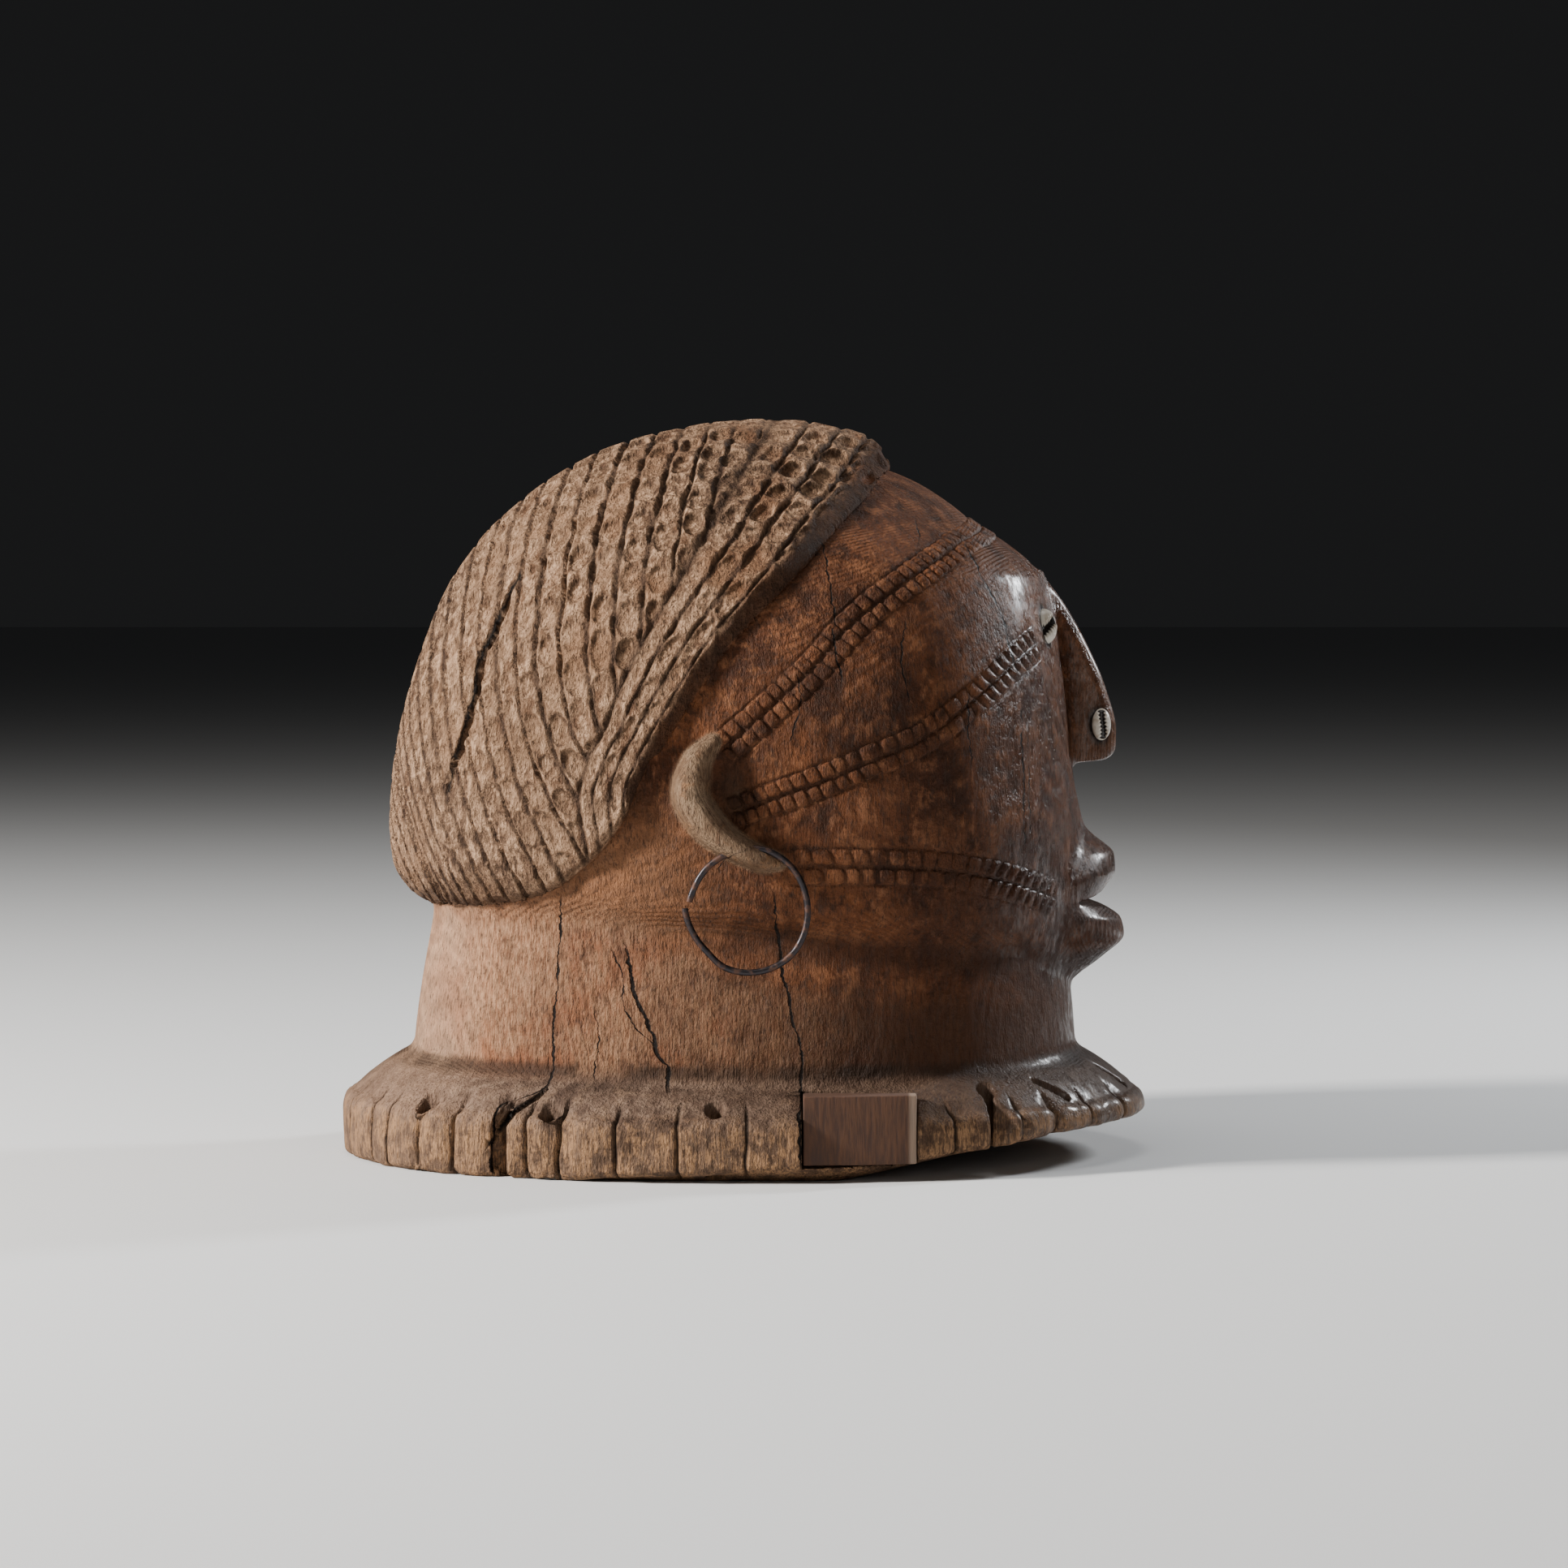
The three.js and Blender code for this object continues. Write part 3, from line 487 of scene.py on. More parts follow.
def hair_distance(x, y, z):
    share = share_of_front(x, z)
    drop = edge_drop(z) * (1 - ramp(0, FIRST_FRONT_GROOVE, share))
    body = hair_body.distance(x, y, z) + drop
    body = meet(body, (x - hairline(z)) * 0.8, 3.5)
    body = meet(body, (hair_bottom(x) - z) * 0.85, 6)
    return meet(body, z - CROWN, 2)


def collar_distance(x, y, z):
    turn = np.arctan2(y, x)
    inset = rim_inset(x, y)
    reach = np.interp(turn, TURNS, COLLAR_OUTLINE - NECK_OUTLINE)
    share = np.clip((inset - COLLAR["flat_edge"]) / (reach - COLLAR["flat_edge"]), 0, 1)
    foot = COLLAR["top_at_sides"] + (COLLAR["top_at_ends"] - COLLAR["top_at_sides"]) * np.cos(turn) ** 2
    top = COLLAR["rim_top"] + (foot - COLLAR["rim_top"]) * share
    top = top + 4 * share * (1 - share) * COLLAR["slope_bulge"]
    body = meet(-inset, (z - top) * 0.9, COLLAR["edge_round"])
    worn = np.where(y < 0, worn_right(x), worn_left(x)) * ramp(COLLAR["worn_reach"], 1, inset)
    return meet(body, underside(x) + worn - z, 4)


def nose_distance(x, y, z):
    ridge = nose_ridge(z)
    t = np.clip((x - NOSE_FOOT) / (ridge - NOSE_FOOT), 0, 1.1)
    half = nose_base(z) + (nose_half(z) - nose_base(z)) * t
    body = meet((np.abs(y) - half) * 0.96, (x - ridge) * 0.92, 5)
    under = NOSE_UNDERSIDE["height"] + (x - NOSE_UNDERSIDE["at"]) * NOSE_UNDERSIDE["slope"]
    body = meet(body, under - z, 3)
    return meet(body, np.maximum(z - NOSE_TOP, NOSE_FOOT - 12 - x), 2)


def muzzle_distance(x, y, z):
    body = muzzle_body.distance(x, y, z)
    body = meet(body, z - MUZZLE_TOP, 5)
    return meet(body, MUZZLE_BOTTOM - z, 4)


def mouth_distance(x, y, z):
    lens = np.sqrt(np.maximum(1 - (y / MOUTH["half"]) ** 2, 0))
    corner = MOUTH["corner"]
    gap = np.abs(z - MOUTH["middle"]) - (mouth_open(x) + corner) * lens + corner
    return meet(gap, MOUTH["back"] - x, 2)


def ear_line():
    """Close points along the ear's centre line: x, z, half width, height and where the head is."""
    run = run_along(np.hypot(np.diff(EAR["x"]), np.diff(EAR["z"])))
    fine = np.linspace(0, run[-1], 90)
    line = np.stack([curve(list(zip(run, EAR[name])))(fine) for name in ("x", "z", "half", "out")], 1)
    side = np.array([head_body.half_width(x, z)[0] for x, z in line[:, :2]])
    return np.hstack([line, side[:, None]])


EAR_LINE = ear_line()


def ear_distance(x, y, z):
    result = np.full(len(x), FAR)
    near = (np.abs(x - EAR_BOX["x"]) < EAR_BOX["half_length"]) & (np.abs(y) > EAR_BOX["from_y"])
    near &= np.abs(z - EAR_BOX["z"]) < EAR_BOX["half_height"]
    px = x[near]
    pz = z[near]
    py = np.abs(y[near])
    gap = (px[:, None] - EAR_LINE[:, 0]) ** 2 + (pz[:, None] - EAR_LINE[:, 1]) ** 2
    half = EAR_LINE[:, 2]
    i = np.argmin(gap / half ** 2, axis=1)
    aside = np.sqrt(gap[np.arange(len(i)), i]) / half[i]
    out = (py - EAR_LINE[i, 4] + EAR_ROOT) / (EAR_LINE[i, 3] + EAR_ROOT)
    size = (aside ** 2.5 + np.abs(out) ** 2.5 + 1e-9) ** 0.4
    result[near] = (size - 1) * half[i] * 0.9
    return result


def inset_distance(x, y, z):
    face = -(COLLAR["half_width"] - INSET["set_back"])
    sides = np.maximum(INSET["x0"] - x, x - INSET["x1"])
    levels = np.maximum(INSET["bottom"] - z, z - INSET["top"])
    depth = y - (face + INSET["depth"])
    return np.maximum(np.maximum(sides, levels), np.maximum(depth, -200 - y))


def from_segment(x, y, a, b):
    """How far along the line from a to b each point lies, from 0 to 1, and how far off that line."""
    along = b - a
    t = np.clip(((x - a[0]) * along[0] + (y - a[1]) * along[1]) / along.dot(along), 0, 1)
    return t, np.hypot(x - a[0] - t * along[0], y - a[1] - t * along[1])


def bald_distance(x, y, z):
    """The head and neck without hair, ears or face."""
    neck = meet(neck_body.distance(x, y, z), z - NECK_TOP, 2)
    return join(head_distance(x, y, z), neck, 4 + 9 * ramp(122, 92, x))


def hair_cap_distance(p):
    """The raised hair before its rows are cut, a shell that lies on the head."""
    x, y, z = p.T
    return cut(hair_distance(x, y, z), bald_distance(x, y, z) - 0.05, 0.2)


def block_distance(p):
    """The carved block without its hair, before its fine relief."""
    x, y, z = p.T
    block = join(bald_distance(x, y, z), muzzle_distance(x, y, z), 5)
    block = join(block, nose_distance(x, y, z), 4)
    block = cut(block, mouth_distance(x, y, z), 1.2)
    block = join(block, ear_distance(x, y, z), 2.4)
    block = join(block, collar_distance(x, y, z), 5)
    block = cut(block, meet(hollow.distance(x, y, z), z - hollow.high, 6), 4)
    low = z < COLLAR["all_below"]
    block[low] = cut_collar(block[low], x[low], y[low], z[low])
    return np.maximum(block, underside(x) - z)


def cut_collar(block, x, y, z):
    """The pocket for the inset block, the lacing holes, the slots and the deep notches."""
    block = cut(block, inset_distance(x, y, z), 0.5)
    for hole_x, hole_y in HOLES:
        block = cut(block, np.hypot(x - hole_x, np.abs(y) - hole_y) - HOLE_RADIUS, 1.2)
    for slot in SLOTS:
        aside = from_segment(x, y, *np.array(slot, float))[1]
        block = cut(block, np.maximum(aside - SLOT_RADIUS, SLOT_FLOOR - z), 1)
    inset = rim_inset(x, y)
    for degrees, depth, half in NOTCHES:
        angle = np.radians(degrees)
        aside = np.abs(x * np.sin(angle) - y * np.cos(angle))
        ahead = x * np.cos(angle) + y * np.sin(angle) > 0
        open_half = half * 1.5 * (1 - inset / (depth * (1 + 0.012 * z)))
        block = cut(block, np.where(ahead, aside - open_half, FAR), 1)
    return block


# The mesh of the block
def in_chunks(work, *arrays):
    """Runs work over chunks of the arrays, a few at a time, and joins what it gives."""
    count = len(arrays[0])
    starts = range(0, count, CHUNK)
    with ThreadPoolExecutor(WORKERS) as pool:
        parts = list(pool.map(lambda s: work(*(a[s:s + CHUNK] for a in arrays)), starts))
    if isinstance(parts[0], dict):
        return {name: np.concatenate([part[name] for part in parts]) for name in parts[0]}
    return np.concatenate(parts)


def level_mesh(distance, low, high, cell):
    """The surface where distance is zero, as points and triangles, from a grid that is fine only near it."""
    span = cell * BLOCK
    counts = np.ceil((high - low) / span).astype(int)
    index = np.indices(counts).reshape(3, -1).T
    middles = low + (index + 0.5 - 0.5 / BLOCK) * span
    rough = in_chunks(distance, middles)
    near = np.abs(rough) < span * NEAR_SHARE
    offsets = np.indices([BLOCK] * 3).reshape(3, -1).T
    values = np.repeat(np.where(rough > 0, FAR, -FAR)[:, None], BLOCK ** 3, 1).astype(np.float32)
    nodes = index[near][:, None] * BLOCK + offsets
    fine = in_chunks(distance, low + nodes.reshape(-1, 3) * cell)
    values[near] = fine.reshape(-1, BLOCK ** 3)
    shape = [*counts, BLOCK, BLOCK, BLOCK]
    dense = values.reshape(shape).transpose(0, 3, 1, 4, 2, 5).reshape(counts * BLOCK)
    grid = openvdb.FloatGrid(FAR)
    grid.copyFromArray(np.ascontiguousarray(dense))
    points, quads = grid.convertToQuads()
    points = low + points.astype(float) * cell
    quads = quads.astype(np.int64)
    first = np.linalg.norm(points[quads[:, 0]] - points[quads[:, 2]], axis=1)
    second = np.linalg.norm(points[quads[:, 1]] - points[quads[:, 3]], axis=1)
    short = (first < second)[:, None]
    a = np.where(short, quads[:, [0, 1, 2]], quads[:, [0, 1, 3]])
    b = np.where(short, quads[:, [0, 2, 3]], quads[:, [1, 2, 3]])
    triangles = np.vstack([a, b])
    if volume(points, triangles) < 0:
        triangles = triangles[:, ::-1]
    return points, triangles


def volume(points, triangles):
    a, b, c = (points[triangles[:, i]] for i in range(3))
    return np.einsum("ij,ij->i", a, np.cross(b, c)).sum() / 6


def settle(points, distance):
    """Moves points onto the surface by one step down the slope of its distance."""

    def step(p):
        here = distance(p)
        slope = np.stack([distance(p + shift) - here for shift in PROBE * np.eye(3)], 1) / PROBE
        move = here / np.maximum((slope * slope).sum(1), 0.25)
        return p - slope * np.clip(move, -FARTHEST, FARTHEST)[:, None]

    return in_chunks(step, points)


def normals_of(points, triangles):
    a, b, c = (points[triangles[:, i]] for i in range(3))
    face = np.cross(b - a, c - a)
    total = np.zeros_like(points)
    for i in range(3):
        for axis in range(3):
            total[:, axis] += np.bincount(triangles[:, i], face[:, axis], len(points))
    return total / np.maximum(np.linalg.norm(total, axis=1), 1e-12)[:, None]


def split_edges(points, triangles, wanted):
    """Halves every edge that is longer than is wanted at its middle, and divides its triangles to suit."""
    corners = triangles[:, [0, 1, 1, 2, 2, 0]].reshape(-1, 2)
    keys = np.sort(corners, axis=1)
    keys = keys[:, 0] * len(points) + keys[:, 1]
    unique, inverse = np.unique(keys, return_inverse=True)
    ends = np.stack([unique // len(points), unique % len(points)], 1)
    middles = (points[ends[:, 0]] + points[ends[:, 1]]) / 2
    length = np.linalg.norm(points[ends[:, 0]] - points[ends[:, 1]], axis=1)
    long = length > in_chunks(wanted, middles)
    number = np.full(len(unique), -1)
    number[long] = len(points) + np.arange(long.sum())
    added = number[inverse].reshape(-1, 3)
    split = added >= 0
    count = split.sum(1)
    # Each triangle is turned until its first edge is split and its last one isn't, if it has both kinds
    first = np.where(count == 1, np.argmax(split, 1), np.where(count == 2, (np.argmin(split, 1) + 1) % 3, 0))
    turn = (np.arange(3) + first[:, None]) % 3
    a, b, c = np.take_along_axis(triangles, turn, 1).T
    ab, bc, ca = np.take_along_axis(added, turn, 1).T
    pieces = {
        0: [(a, b, c)],
        1: [(a, ab, c), (ab, b, c)],
        2: [(a, ab, c), (ab, b, bc), (ab, bc, c)],
        3: [(a, ab, ca), (ab, b, bc), (ca, bc, c), (ab, bc, ca)],
    }
    result = []
    for kind, parts in pieces.items():
        chosen = count == kind
        result += [np.stack([corner[chosen] for corner in part], 1) for part in parts]
    return np.vstack([points, middles[long]]), np.vstack(result)


# Fine relief
def path_on_head(path, first, last):
    """Close points on the head along a line given by height over angle, with the way along it."""
    height = curve(path)
    degrees = np.linspace(first, last, LINE_POINTS)
    turn = np.radians(np.abs(degrees))
    z = height(np.abs(degrees))
    low = np.zeros_like(z)
    high = np.full_like(z, 220)
    for _ in range(HALVINGS):
        middle = (low + high) / 2
        outside = head_body.distance(middle * np.cos(turn), middle * np.sin(turn), z) > 0
        high = np.where(outside, middle, high)
        low = np.where(outside, low, middle)
    line = np.stack([low * np.cos(turn), low * np.sin(turn) * np.sign(degrees + 1e-9), z], 1)
    run = run_along(np.linalg.norm(np.diff(line, axis=0), axis=1))
    even = np.arange(0, run[-1], LINE_STEP)
    line = np.stack([np.interp(even, run, line[:, axis]) for axis in range(3)], 1)
    return line, np.interp(even, run, degrees)


def near_line(p, n, line, reach):
    """The points within reach of a line: which, how far along it and across it, and their nearest place."""

    def nearest(q, places):
        gap = np.full(len(q), np.inf)
        best = np.zeros(len(q), np.int64)
        for place in places:
            d = ((q - line[place]) ** 2).sum(1)
            best = np.where(d < gap, place, best)
            gap = np.minimum(d, gap)
        return best, gap

    near = np.nonzero(((p > line.min(0) - reach) & (p < line.max(0) + reach)).all(1))[0]
    place, gap = nearest(p[near], range(0, len(line), LINE_STRIDE))
    kept = gap < (reach + 3) ** 2
    near = near[kept]
    place = place[kept]
    q = p[near]
    last = len(line) - 1
    shifts = range(-LINE_STRIDE, LINE_STRIDE + 1)
    best = nearest(q, [np.clip(place + shift, 0, last) for shift in shifts])[0]
    along = line[np.clip(best + 2, 0, last)] - line[np.clip(best - 2, 0, last)]
    along /= np.linalg.norm(along, axis=1)[:, None]
    offset = q - line[best]
    across = np.cross(n[near], along)
    across /= np.maximum(np.linalg.norm(across, axis=1), 1e-9)[:, None]
    return near, best * LINE_STEP + (offset * along).sum(1), (offset * across).sum(1), best


def back_place(x, z):
    """Where a back row that passes here crosses the height at which rows stand upright."""
    above = (z - BOW_HEIGHT) ** 2
    u = np.clip(x, -185, 30)
    for _ in range(14):
        lean = np.where(z > BOW_HEIGHT, above / BOW_ABOVE, above * bow_share(u) / BOW_BELOW)
        u = 0.4 * u + 0.6 * (x - lean)
    return u


def back_grooves():
    """Where the grooves between the back rows lie: equal steps around the head, then down the back."""

    def bow(u, z):
        return (z - BOW_HEIGHT) ** 2 * (1 / BOW_ABOVE if z > BOW_HEIGHT else bow_share(u) / BOW_BELOW)

    start = float(meeting_line(ROWS_LEVEL))
    first = start - bow(start, ROWS_LEVEL)
    places = list(np.arange(first, BACK_ROWS_START + 3 * ROW_PITCH, ROW_PITCH))[::-1]
    centre, reach = hair_body.at(np.array([ROWS_LEVEL]))[:2, 0]
    back = centre - reach
    xs = np.arange(start, back + 0.05, -0.1)
    ys = hair_body.half_width(xs, np.full(len(xs), ROWS_LEVEL))
    run = run_along(np.hypot(np.diff(xs), np.diff(ys)))
    for distance in np.arange(ROW_PITCH, run[-1], ROW_PITCH):
        x = float(np.interp(distance, run, xs))
        places.append(x - bow(x, ROWS_LEVEL))
    for z in np.arange(ROWS_LEVEL - ROW_PITCH, LOWEST_ROW, -ROW_PITCH):
        rear = hair_body.at(np.array([z]))[:2, 0]
        x = rear[0] - rear[1]
        places.append(x - bow(x, z))
    return np.array(places)


GROOVES = back_grooves()


def back_rows(x, z):
    return np.interp(-back_place(x, z), -GROOVES, np.arange(len(GROOVES)))


def front_rows(x, z):
    return (share_of_front(x, z) - FIRST_FRONT_GROOVE) / FRONT_PITCH


def rows_relief(p, n, rows, slant, seed):
    """Grooves between rows and a chain of dimples along each: the height, and how deep in shade."""
    e = 0.5
    x, y, z = p.T
    wobble = 0.07 * noise(p, [9, 9, 16.0], seed) + 0.04 * noise(p, 4.5, seed)
    place = rows(x, z)
    slope = np.stack([(rows(x + e, z) - place) / e, np.zeros(len(x)), (rows(x, z + e) - place) / e], 1)
    slope -= n * (slope * n).sum(1)[:, None]
    steep = np.clip(np.linalg.norm(slope, axis=1), 0.05, 0.3)
    place = place + wobble
    pitch = 1 / steep
    groove = np.round(place)
    from_groove = np.abs(place - groove) * pitch
    narrow = np.clip(pitch / ROW_PITCH, 0.55, 1.1)
    worn = 0.78 + 0.3 * noise(p, 17, seed + 3) + 0.14 * noise(p, 6, seed + 5)
    half = GROOVE_HALF * narrow * (1 + 0.25 * chance(groove, seed))
    line = np.exp(-(from_groove / half) ** 2 * 0.9)
    shoulder = hump(from_groove, 0, half * 2.6)
    height = -GROOVE_DEPTH * narrow * worn * (0.88 * line + 0.12 * shoulder)
    row = np.floor(place)
    side = (y > 0) * 40
    turn = np.arctan2(z - DIMPLE["from_height"], np.abs(y))
    along = DIMPLE["radius"] * turn - DIMPLE["flatness"] * np.sin(2 * turn)
    spacing = DIMPLE["spacing"] * (1 + 0.06 * chance(row + side, seed + 1))
    beat = along / (spacing * slant) + 0.5 * chance(row + side, seed + 7) + 0.12 * noise(p, 30, seed + 9)
    cell = np.round(beat)
    shift = 0.12 * chance(row + side, cell, seed)
    a = (beat - cell + shift) * spacing / (DIMPLE["along"] * (1 + 0.2 * chance(cell, row, 5)))
    b = (place - row - 0.5 + 0.05 * chance(cell, row, 9)) * pitch / (DIMPLE["across"] * narrow)
    b = b * (1 + 0.15 * chance(row, cell, 3))
    radius = np.sqrt(a * a + b * b + 1e-6)
    bowl = np.clip(1 - radius ** 3.2, 0, 1) ** 0.75
    rim = hump(radius, 1.14, 0.16)
    wall = hump(radius, 0.9, 0.12)
    strength = DIMPLE["depth"] * (1 + 0.3 * chance(row + side, cell, 11)) * narrow
    strength = strength * (0.75 + 0.25 * ramp(-140, -60, x)) * (0.5 + 0.5 * ramp(118, 175, z))
    height = height - strength * bowl + 0.35 * rim * narrow
    shade = line * 1.1 + (0.45 * wall + 0.2 * bowl * ramp(240, 150, z)) * strength / DIMPLE["depth"]
    shade = np.clip(shade, 0, 1)
    return height, shade


def hair_mask(x, y, z):
    over_scalp = np.where(z > 303, 2, head_body.distance(x, y, z))
    mask = ramp(0.2, 1.2, over_scalp) * ramp(-0.3, 0.6, hairline(z) - x)
    mask = mask * ramp(-0.6, 2.2, z - hair_bottom(x))
    return mask * (ear_distance(x, y, z) > 1.5)


def hair_relief(p, n):
    """The hair's rows, its worn border and the weathered wood: height and shade."""
    x, y, z = p.T
    share = share_of_front(x, z)
    front_height, front_shade = rows_relief(p, n, front_rows, FRONT_SLANT, 2)
    back_height, back_shade = rows_relief(p, n, back_rows, 1.0, 6)
    border = ramp(FIRST_FRONT_GROOVE - 0.02, FIRST_FRONT_GROOVE - 0.12, share)
    front_height = front_height * (1 - border) + border * border_relief(p)
    front_shade = front_shade * (1 - border) + border * 0.35
    meeting = hump((share - 1) * 30, 0, 1.5)
    is_front = ramp(1.02, 0.98, share)
    height = front_height * is_front + back_height * (1 - is_front)
    height = np.minimum(height, -2.2 * meeting)
    shade = np.maximum(front_shade * is_front + back_shade * (1 - is_front), meeting)
    top_wear = ramp(308, 318, z) * ramp(45, 15, np.abs(y))
    height = height * (1 - 0.6 * top_wear)
    shade = shade * (1 - 0.5 * top_wear)
    rough = 0.2 * noise(p, [6, 6, 11.0], 20)
    return height + rough * (0.8 + 4 * ramp(138, 110, z)), shade


def border_relief(p):
    """The plain strip along the hairline, with a few deep rimmed cells near the crown."""
    x, y, z = p.T
    share = share_of_front(x, z)
    height = -0.5 + 0.25 * noise(p, 12, 31)
    for cell_z, cell_y in BORDER_CELLS:
        a = (y - cell_y) / 8.2
        b = (share - 0.13) * 52 / 4.4
        c = (z - cell_z) / 9
        radius = np.sqrt(a * a + b * b + 0.4 * c * c)
        height = height - 3.2 * np.exp(-(radius ** 3.5)) + 1.5 * hump(radius, 1.3, 0.24)
    return height


BAND_LINES = {}
for band_name, band in BANDS.items():
    start, end = band["ends"]
    spans = [(start, end)] if start < 0 else [(start, end), (-start, -end)]
    BAND_LINES[band_name] = [path_on_head(band["path"], *span) for span in spans]


def band_relief(p, n):
    """Two rows of raised squares with a groove between them, turning to ridges near the face."""
    height, shade, cover = np.zeros((3, len(p)))
    for number, (name, spec) in enumerate(BANDS.items()):
        half = spec["half"]
        for line, degrees in BAND_LINES[name]:
            near, run, side, best = near_line(p, n, line, half + 4)
            angle = np.abs(degrees[best])
            right = np.where(line[best, 1] < 0, 1, 2)
            ends = np.minimum(run, LINE_STEP * len(line) - run)
            rank = np.sign(side)
            out = np.abs(side) / half
            jitter = 0.12 * chance(number, rank, right)
            pitch = spec["pitch"] * (1 + 0.04 * noise(p[near], 25, 40 + number))
            beat = run / pitch + 0.3 * rank + jitter + 0.08 * noise(p[near], 7, 44)
            cell = np.round(beat)
            size = 0.5 * (1 - 0.15 - 0.1 * chance(cell, rank, number))
            along = np.abs(beat - cell) / size
            across = np.abs(out - 0.54) / (0.41 + 0.03 * chance(cell, rank, 4))
            reach = (along ** 4.4 + across ** 4.4) ** 0.227
            square = ramp(1.16, 0.84, reach) * (1 - 0.16 * np.minimum(reach, 1) ** 2)
            square = square * (0.82 + 0.3 * chance(cell, rank, 8 + number) + 0.3 * noise(p[near], 9, 47))
            lean = -1 if name == "jaw" else 1
            beat = (run + lean * 2.6 * (out - 0.5) * rank + 2.2 * (out - 0.5) ** 2) / CRESCENT_PITCH
            ridge = 0.5 + 0.5 * np.cos(2 * np.pi * (beat + 0.25 * rank))
            ridge = ridge ** 0.6 * ramp(1.12, 0.86, out) * ramp(0.02, 0.16, out)
            to_ridges = ramp(spec["squares_from"], spec["squares_from"] - 4, angle)
            form = square * (1 - to_ridges) + ridge * to_ridges
            inside = ramp(1.15, 0.95, out)
            border = hump(np.abs(side) - half, 0.7, 0.6)
            fade = ramp(-1.5, 4, ends)
            if name == "jaw":
                fade = fade * (0.65 + 0.35 * ramp(24, 40, angle))
            raised = spec["height"] * (form * 0.98 - 0.14) * inside - 0.2 * border
            height[near] += raised * fade
            # Painted shade in the gaps between the squares and along the band's edge
            dark = 0.7 * ((1 - np.minimum(form, 1)) ** 2 * inside + 0.1 * border)
            shade[near] = np.maximum(shade[near], dark * fade)
            cover[near] = np.maximum(cover[near], inside * fade)
    return height, np.clip(shade, 0, 1), cover


def crack_relief(p):
    """Dark splits that follow the grain: height and shade."""
    height, shade = np.zeros((2, len(p)))
    x, y, z = p.T
    for number, (side, half, depth, points) in enumerate(CRACKS):
        points = np.array(points, float)
        low = points.min(0) - 6
        high = points.max(0) + 6
        near = np.nonzero((x > low[0]) & (x < high[0]) & (z > low[1]) & (z < high[1]) & (y * side > 20))[0]
        q = p[near]
        shift = CRACK_WANDER * noise(q, [60, 60, 7.0], 50 + number)
        qx = q[:, 0] + shift
        qz = q[:, 2]
        gap = np.full(len(near), FAR)
        place = np.zeros(len(near))
        for i, (a, b) in enumerate(zip(points[:-1], points[1:])):
            t, d = from_segment(qx, qz, a, b)
            closer = d < gap
            gap = np.where(closer, d, gap)
            place = np.where(closer, (i + t) / (len(points) - 1), place)
        swell = 0.35 + 0.65 * np.sin(np.pi * np.clip(place, 0.04, 0.96)) ** 0.6
        width = half * swell * (1 + 0.25 * noise(q, 14, 60 + number))
        profile = ramp(1.25, 0.35, gap / width)
        height[near] = np.minimum(height[near], -depth * swell * profile)
        shade[near] = np.maximum(shade[near], ramp(1.5, 0.7, gap / width))
    return height, shade


def rim_angle(side, place):
    """The angle, in degrees, at which the collar's edge passes this place along X."""
    half = TURNS * side >= 0
    along = (COLLAR_OUTLINE * np.cos(TURNS))[half]
    order = np.argsort(along)
    return float(np.degrees(np.interp(place, along[order], TURNS[half][order])))


def rim_relief(p, n):
    """Splits and worn lobes round the edge of the collar: height and shade."""
    x, y, z = p.T
    turn = np.arctan2(y, x)
    radius = np.hypot(x, y)
    inset = rim_inset(x, y)
    outward = np.maximum((x * n[:, 0] + y * n[:, 1]) / radius, n[:, 2])
    on_rim = ramp(16, 3, inset) * ramp(42, 32, z) * ramp(-0.1, 0.35, outward)
    height, shade = np.zeros((2, len(p)))
    for number, (side, place, depth, half) in enumerate(RIM_SPLITS):
        degrees = rim_angle(side, place)
        gap = (np.degrees(turn) - degrees + 180) % 360 - 180
        aside = np.abs(np.radians(gap) * radius + 0.9 * noise(p, [40, 40, 9.0], 70 + number))
        worn = hump(aside, 0, half * 2.1)
        split = hump(aside, 0, 0.36 * min(half, 2))
        reach = ramp(16, 2, inset - 2 * chance(number) - 0.6 * depth)
        height -= (0.4 * depth * worn + 0.7 * depth * split) * on_rim * reach
        shade = np.maximum(shade, split * on_rim * reach)
    rough = 0.5 * noise(p, [5.5, 5.5, 17.0], 80) + 0.35 * noise(p, [3, 3, 10.0], 84)
    rough = rough + 0.9 * noise(p, [15, 15, 11.0], 88)
    height += (rough - 0.2) * on_rim
    return height, shade


def shell_places():
    """Where each shell sits: name, centre, facing direction, half sizes and the turn of its slit."""
    turn = np.radians(EYE_SHELL["angle"])
    z = EYE_SHELL["z"]
    reach = np.linspace(60, 170, 2200)
    level = np.full(len(reach), float(z))
    outside = head_body.distance(reach * np.cos(turn), reach * np.sin(turn), level)
    radius = reach[np.argmin(np.abs(outside))]
    eye = np.array([radius * np.cos(turn), radius * np.sin(turn), z])
    step = 0.5 * np.eye(3)
    slope = np.array([head_body.distance(*[np.array([v]) for v in eye + s])[0] for s in step])
    turned = np.radians(EYE_SHELL["turned"])
    facing = np.array([np.cos(turned), np.sin(turned), slope[2] / np.linalg.norm(slope)])
    facing = facing / np.linalg.norm(facing)
    nose = np.array([NOSE_SHELL["x"], NOSE_SHELL["y"], NOSE_SHELL["z"]])
    side = np.radians(NOSE_SHELL["turned"])
    nose_facing = np.array([np.cos(side), np.sin(side), 0])
    places = []
    for mirror, word in ((-1, "right"), (1, "left")):
        flip = np.array([1, mirror, 1])
        slit = -mirror * EYE_SHELL["slit"]
        places.append((word + "_eye_shell", eye * flip, facing * flip, EYE_SHELL["size"], slit))
        slit = NOSE_SHELL["slit"]
        places.append((word + "_nose_shell", nose * flip, nose_facing * flip, NOSE_SHELL["size"], slit))
    return places


SHELLS = shell_places()


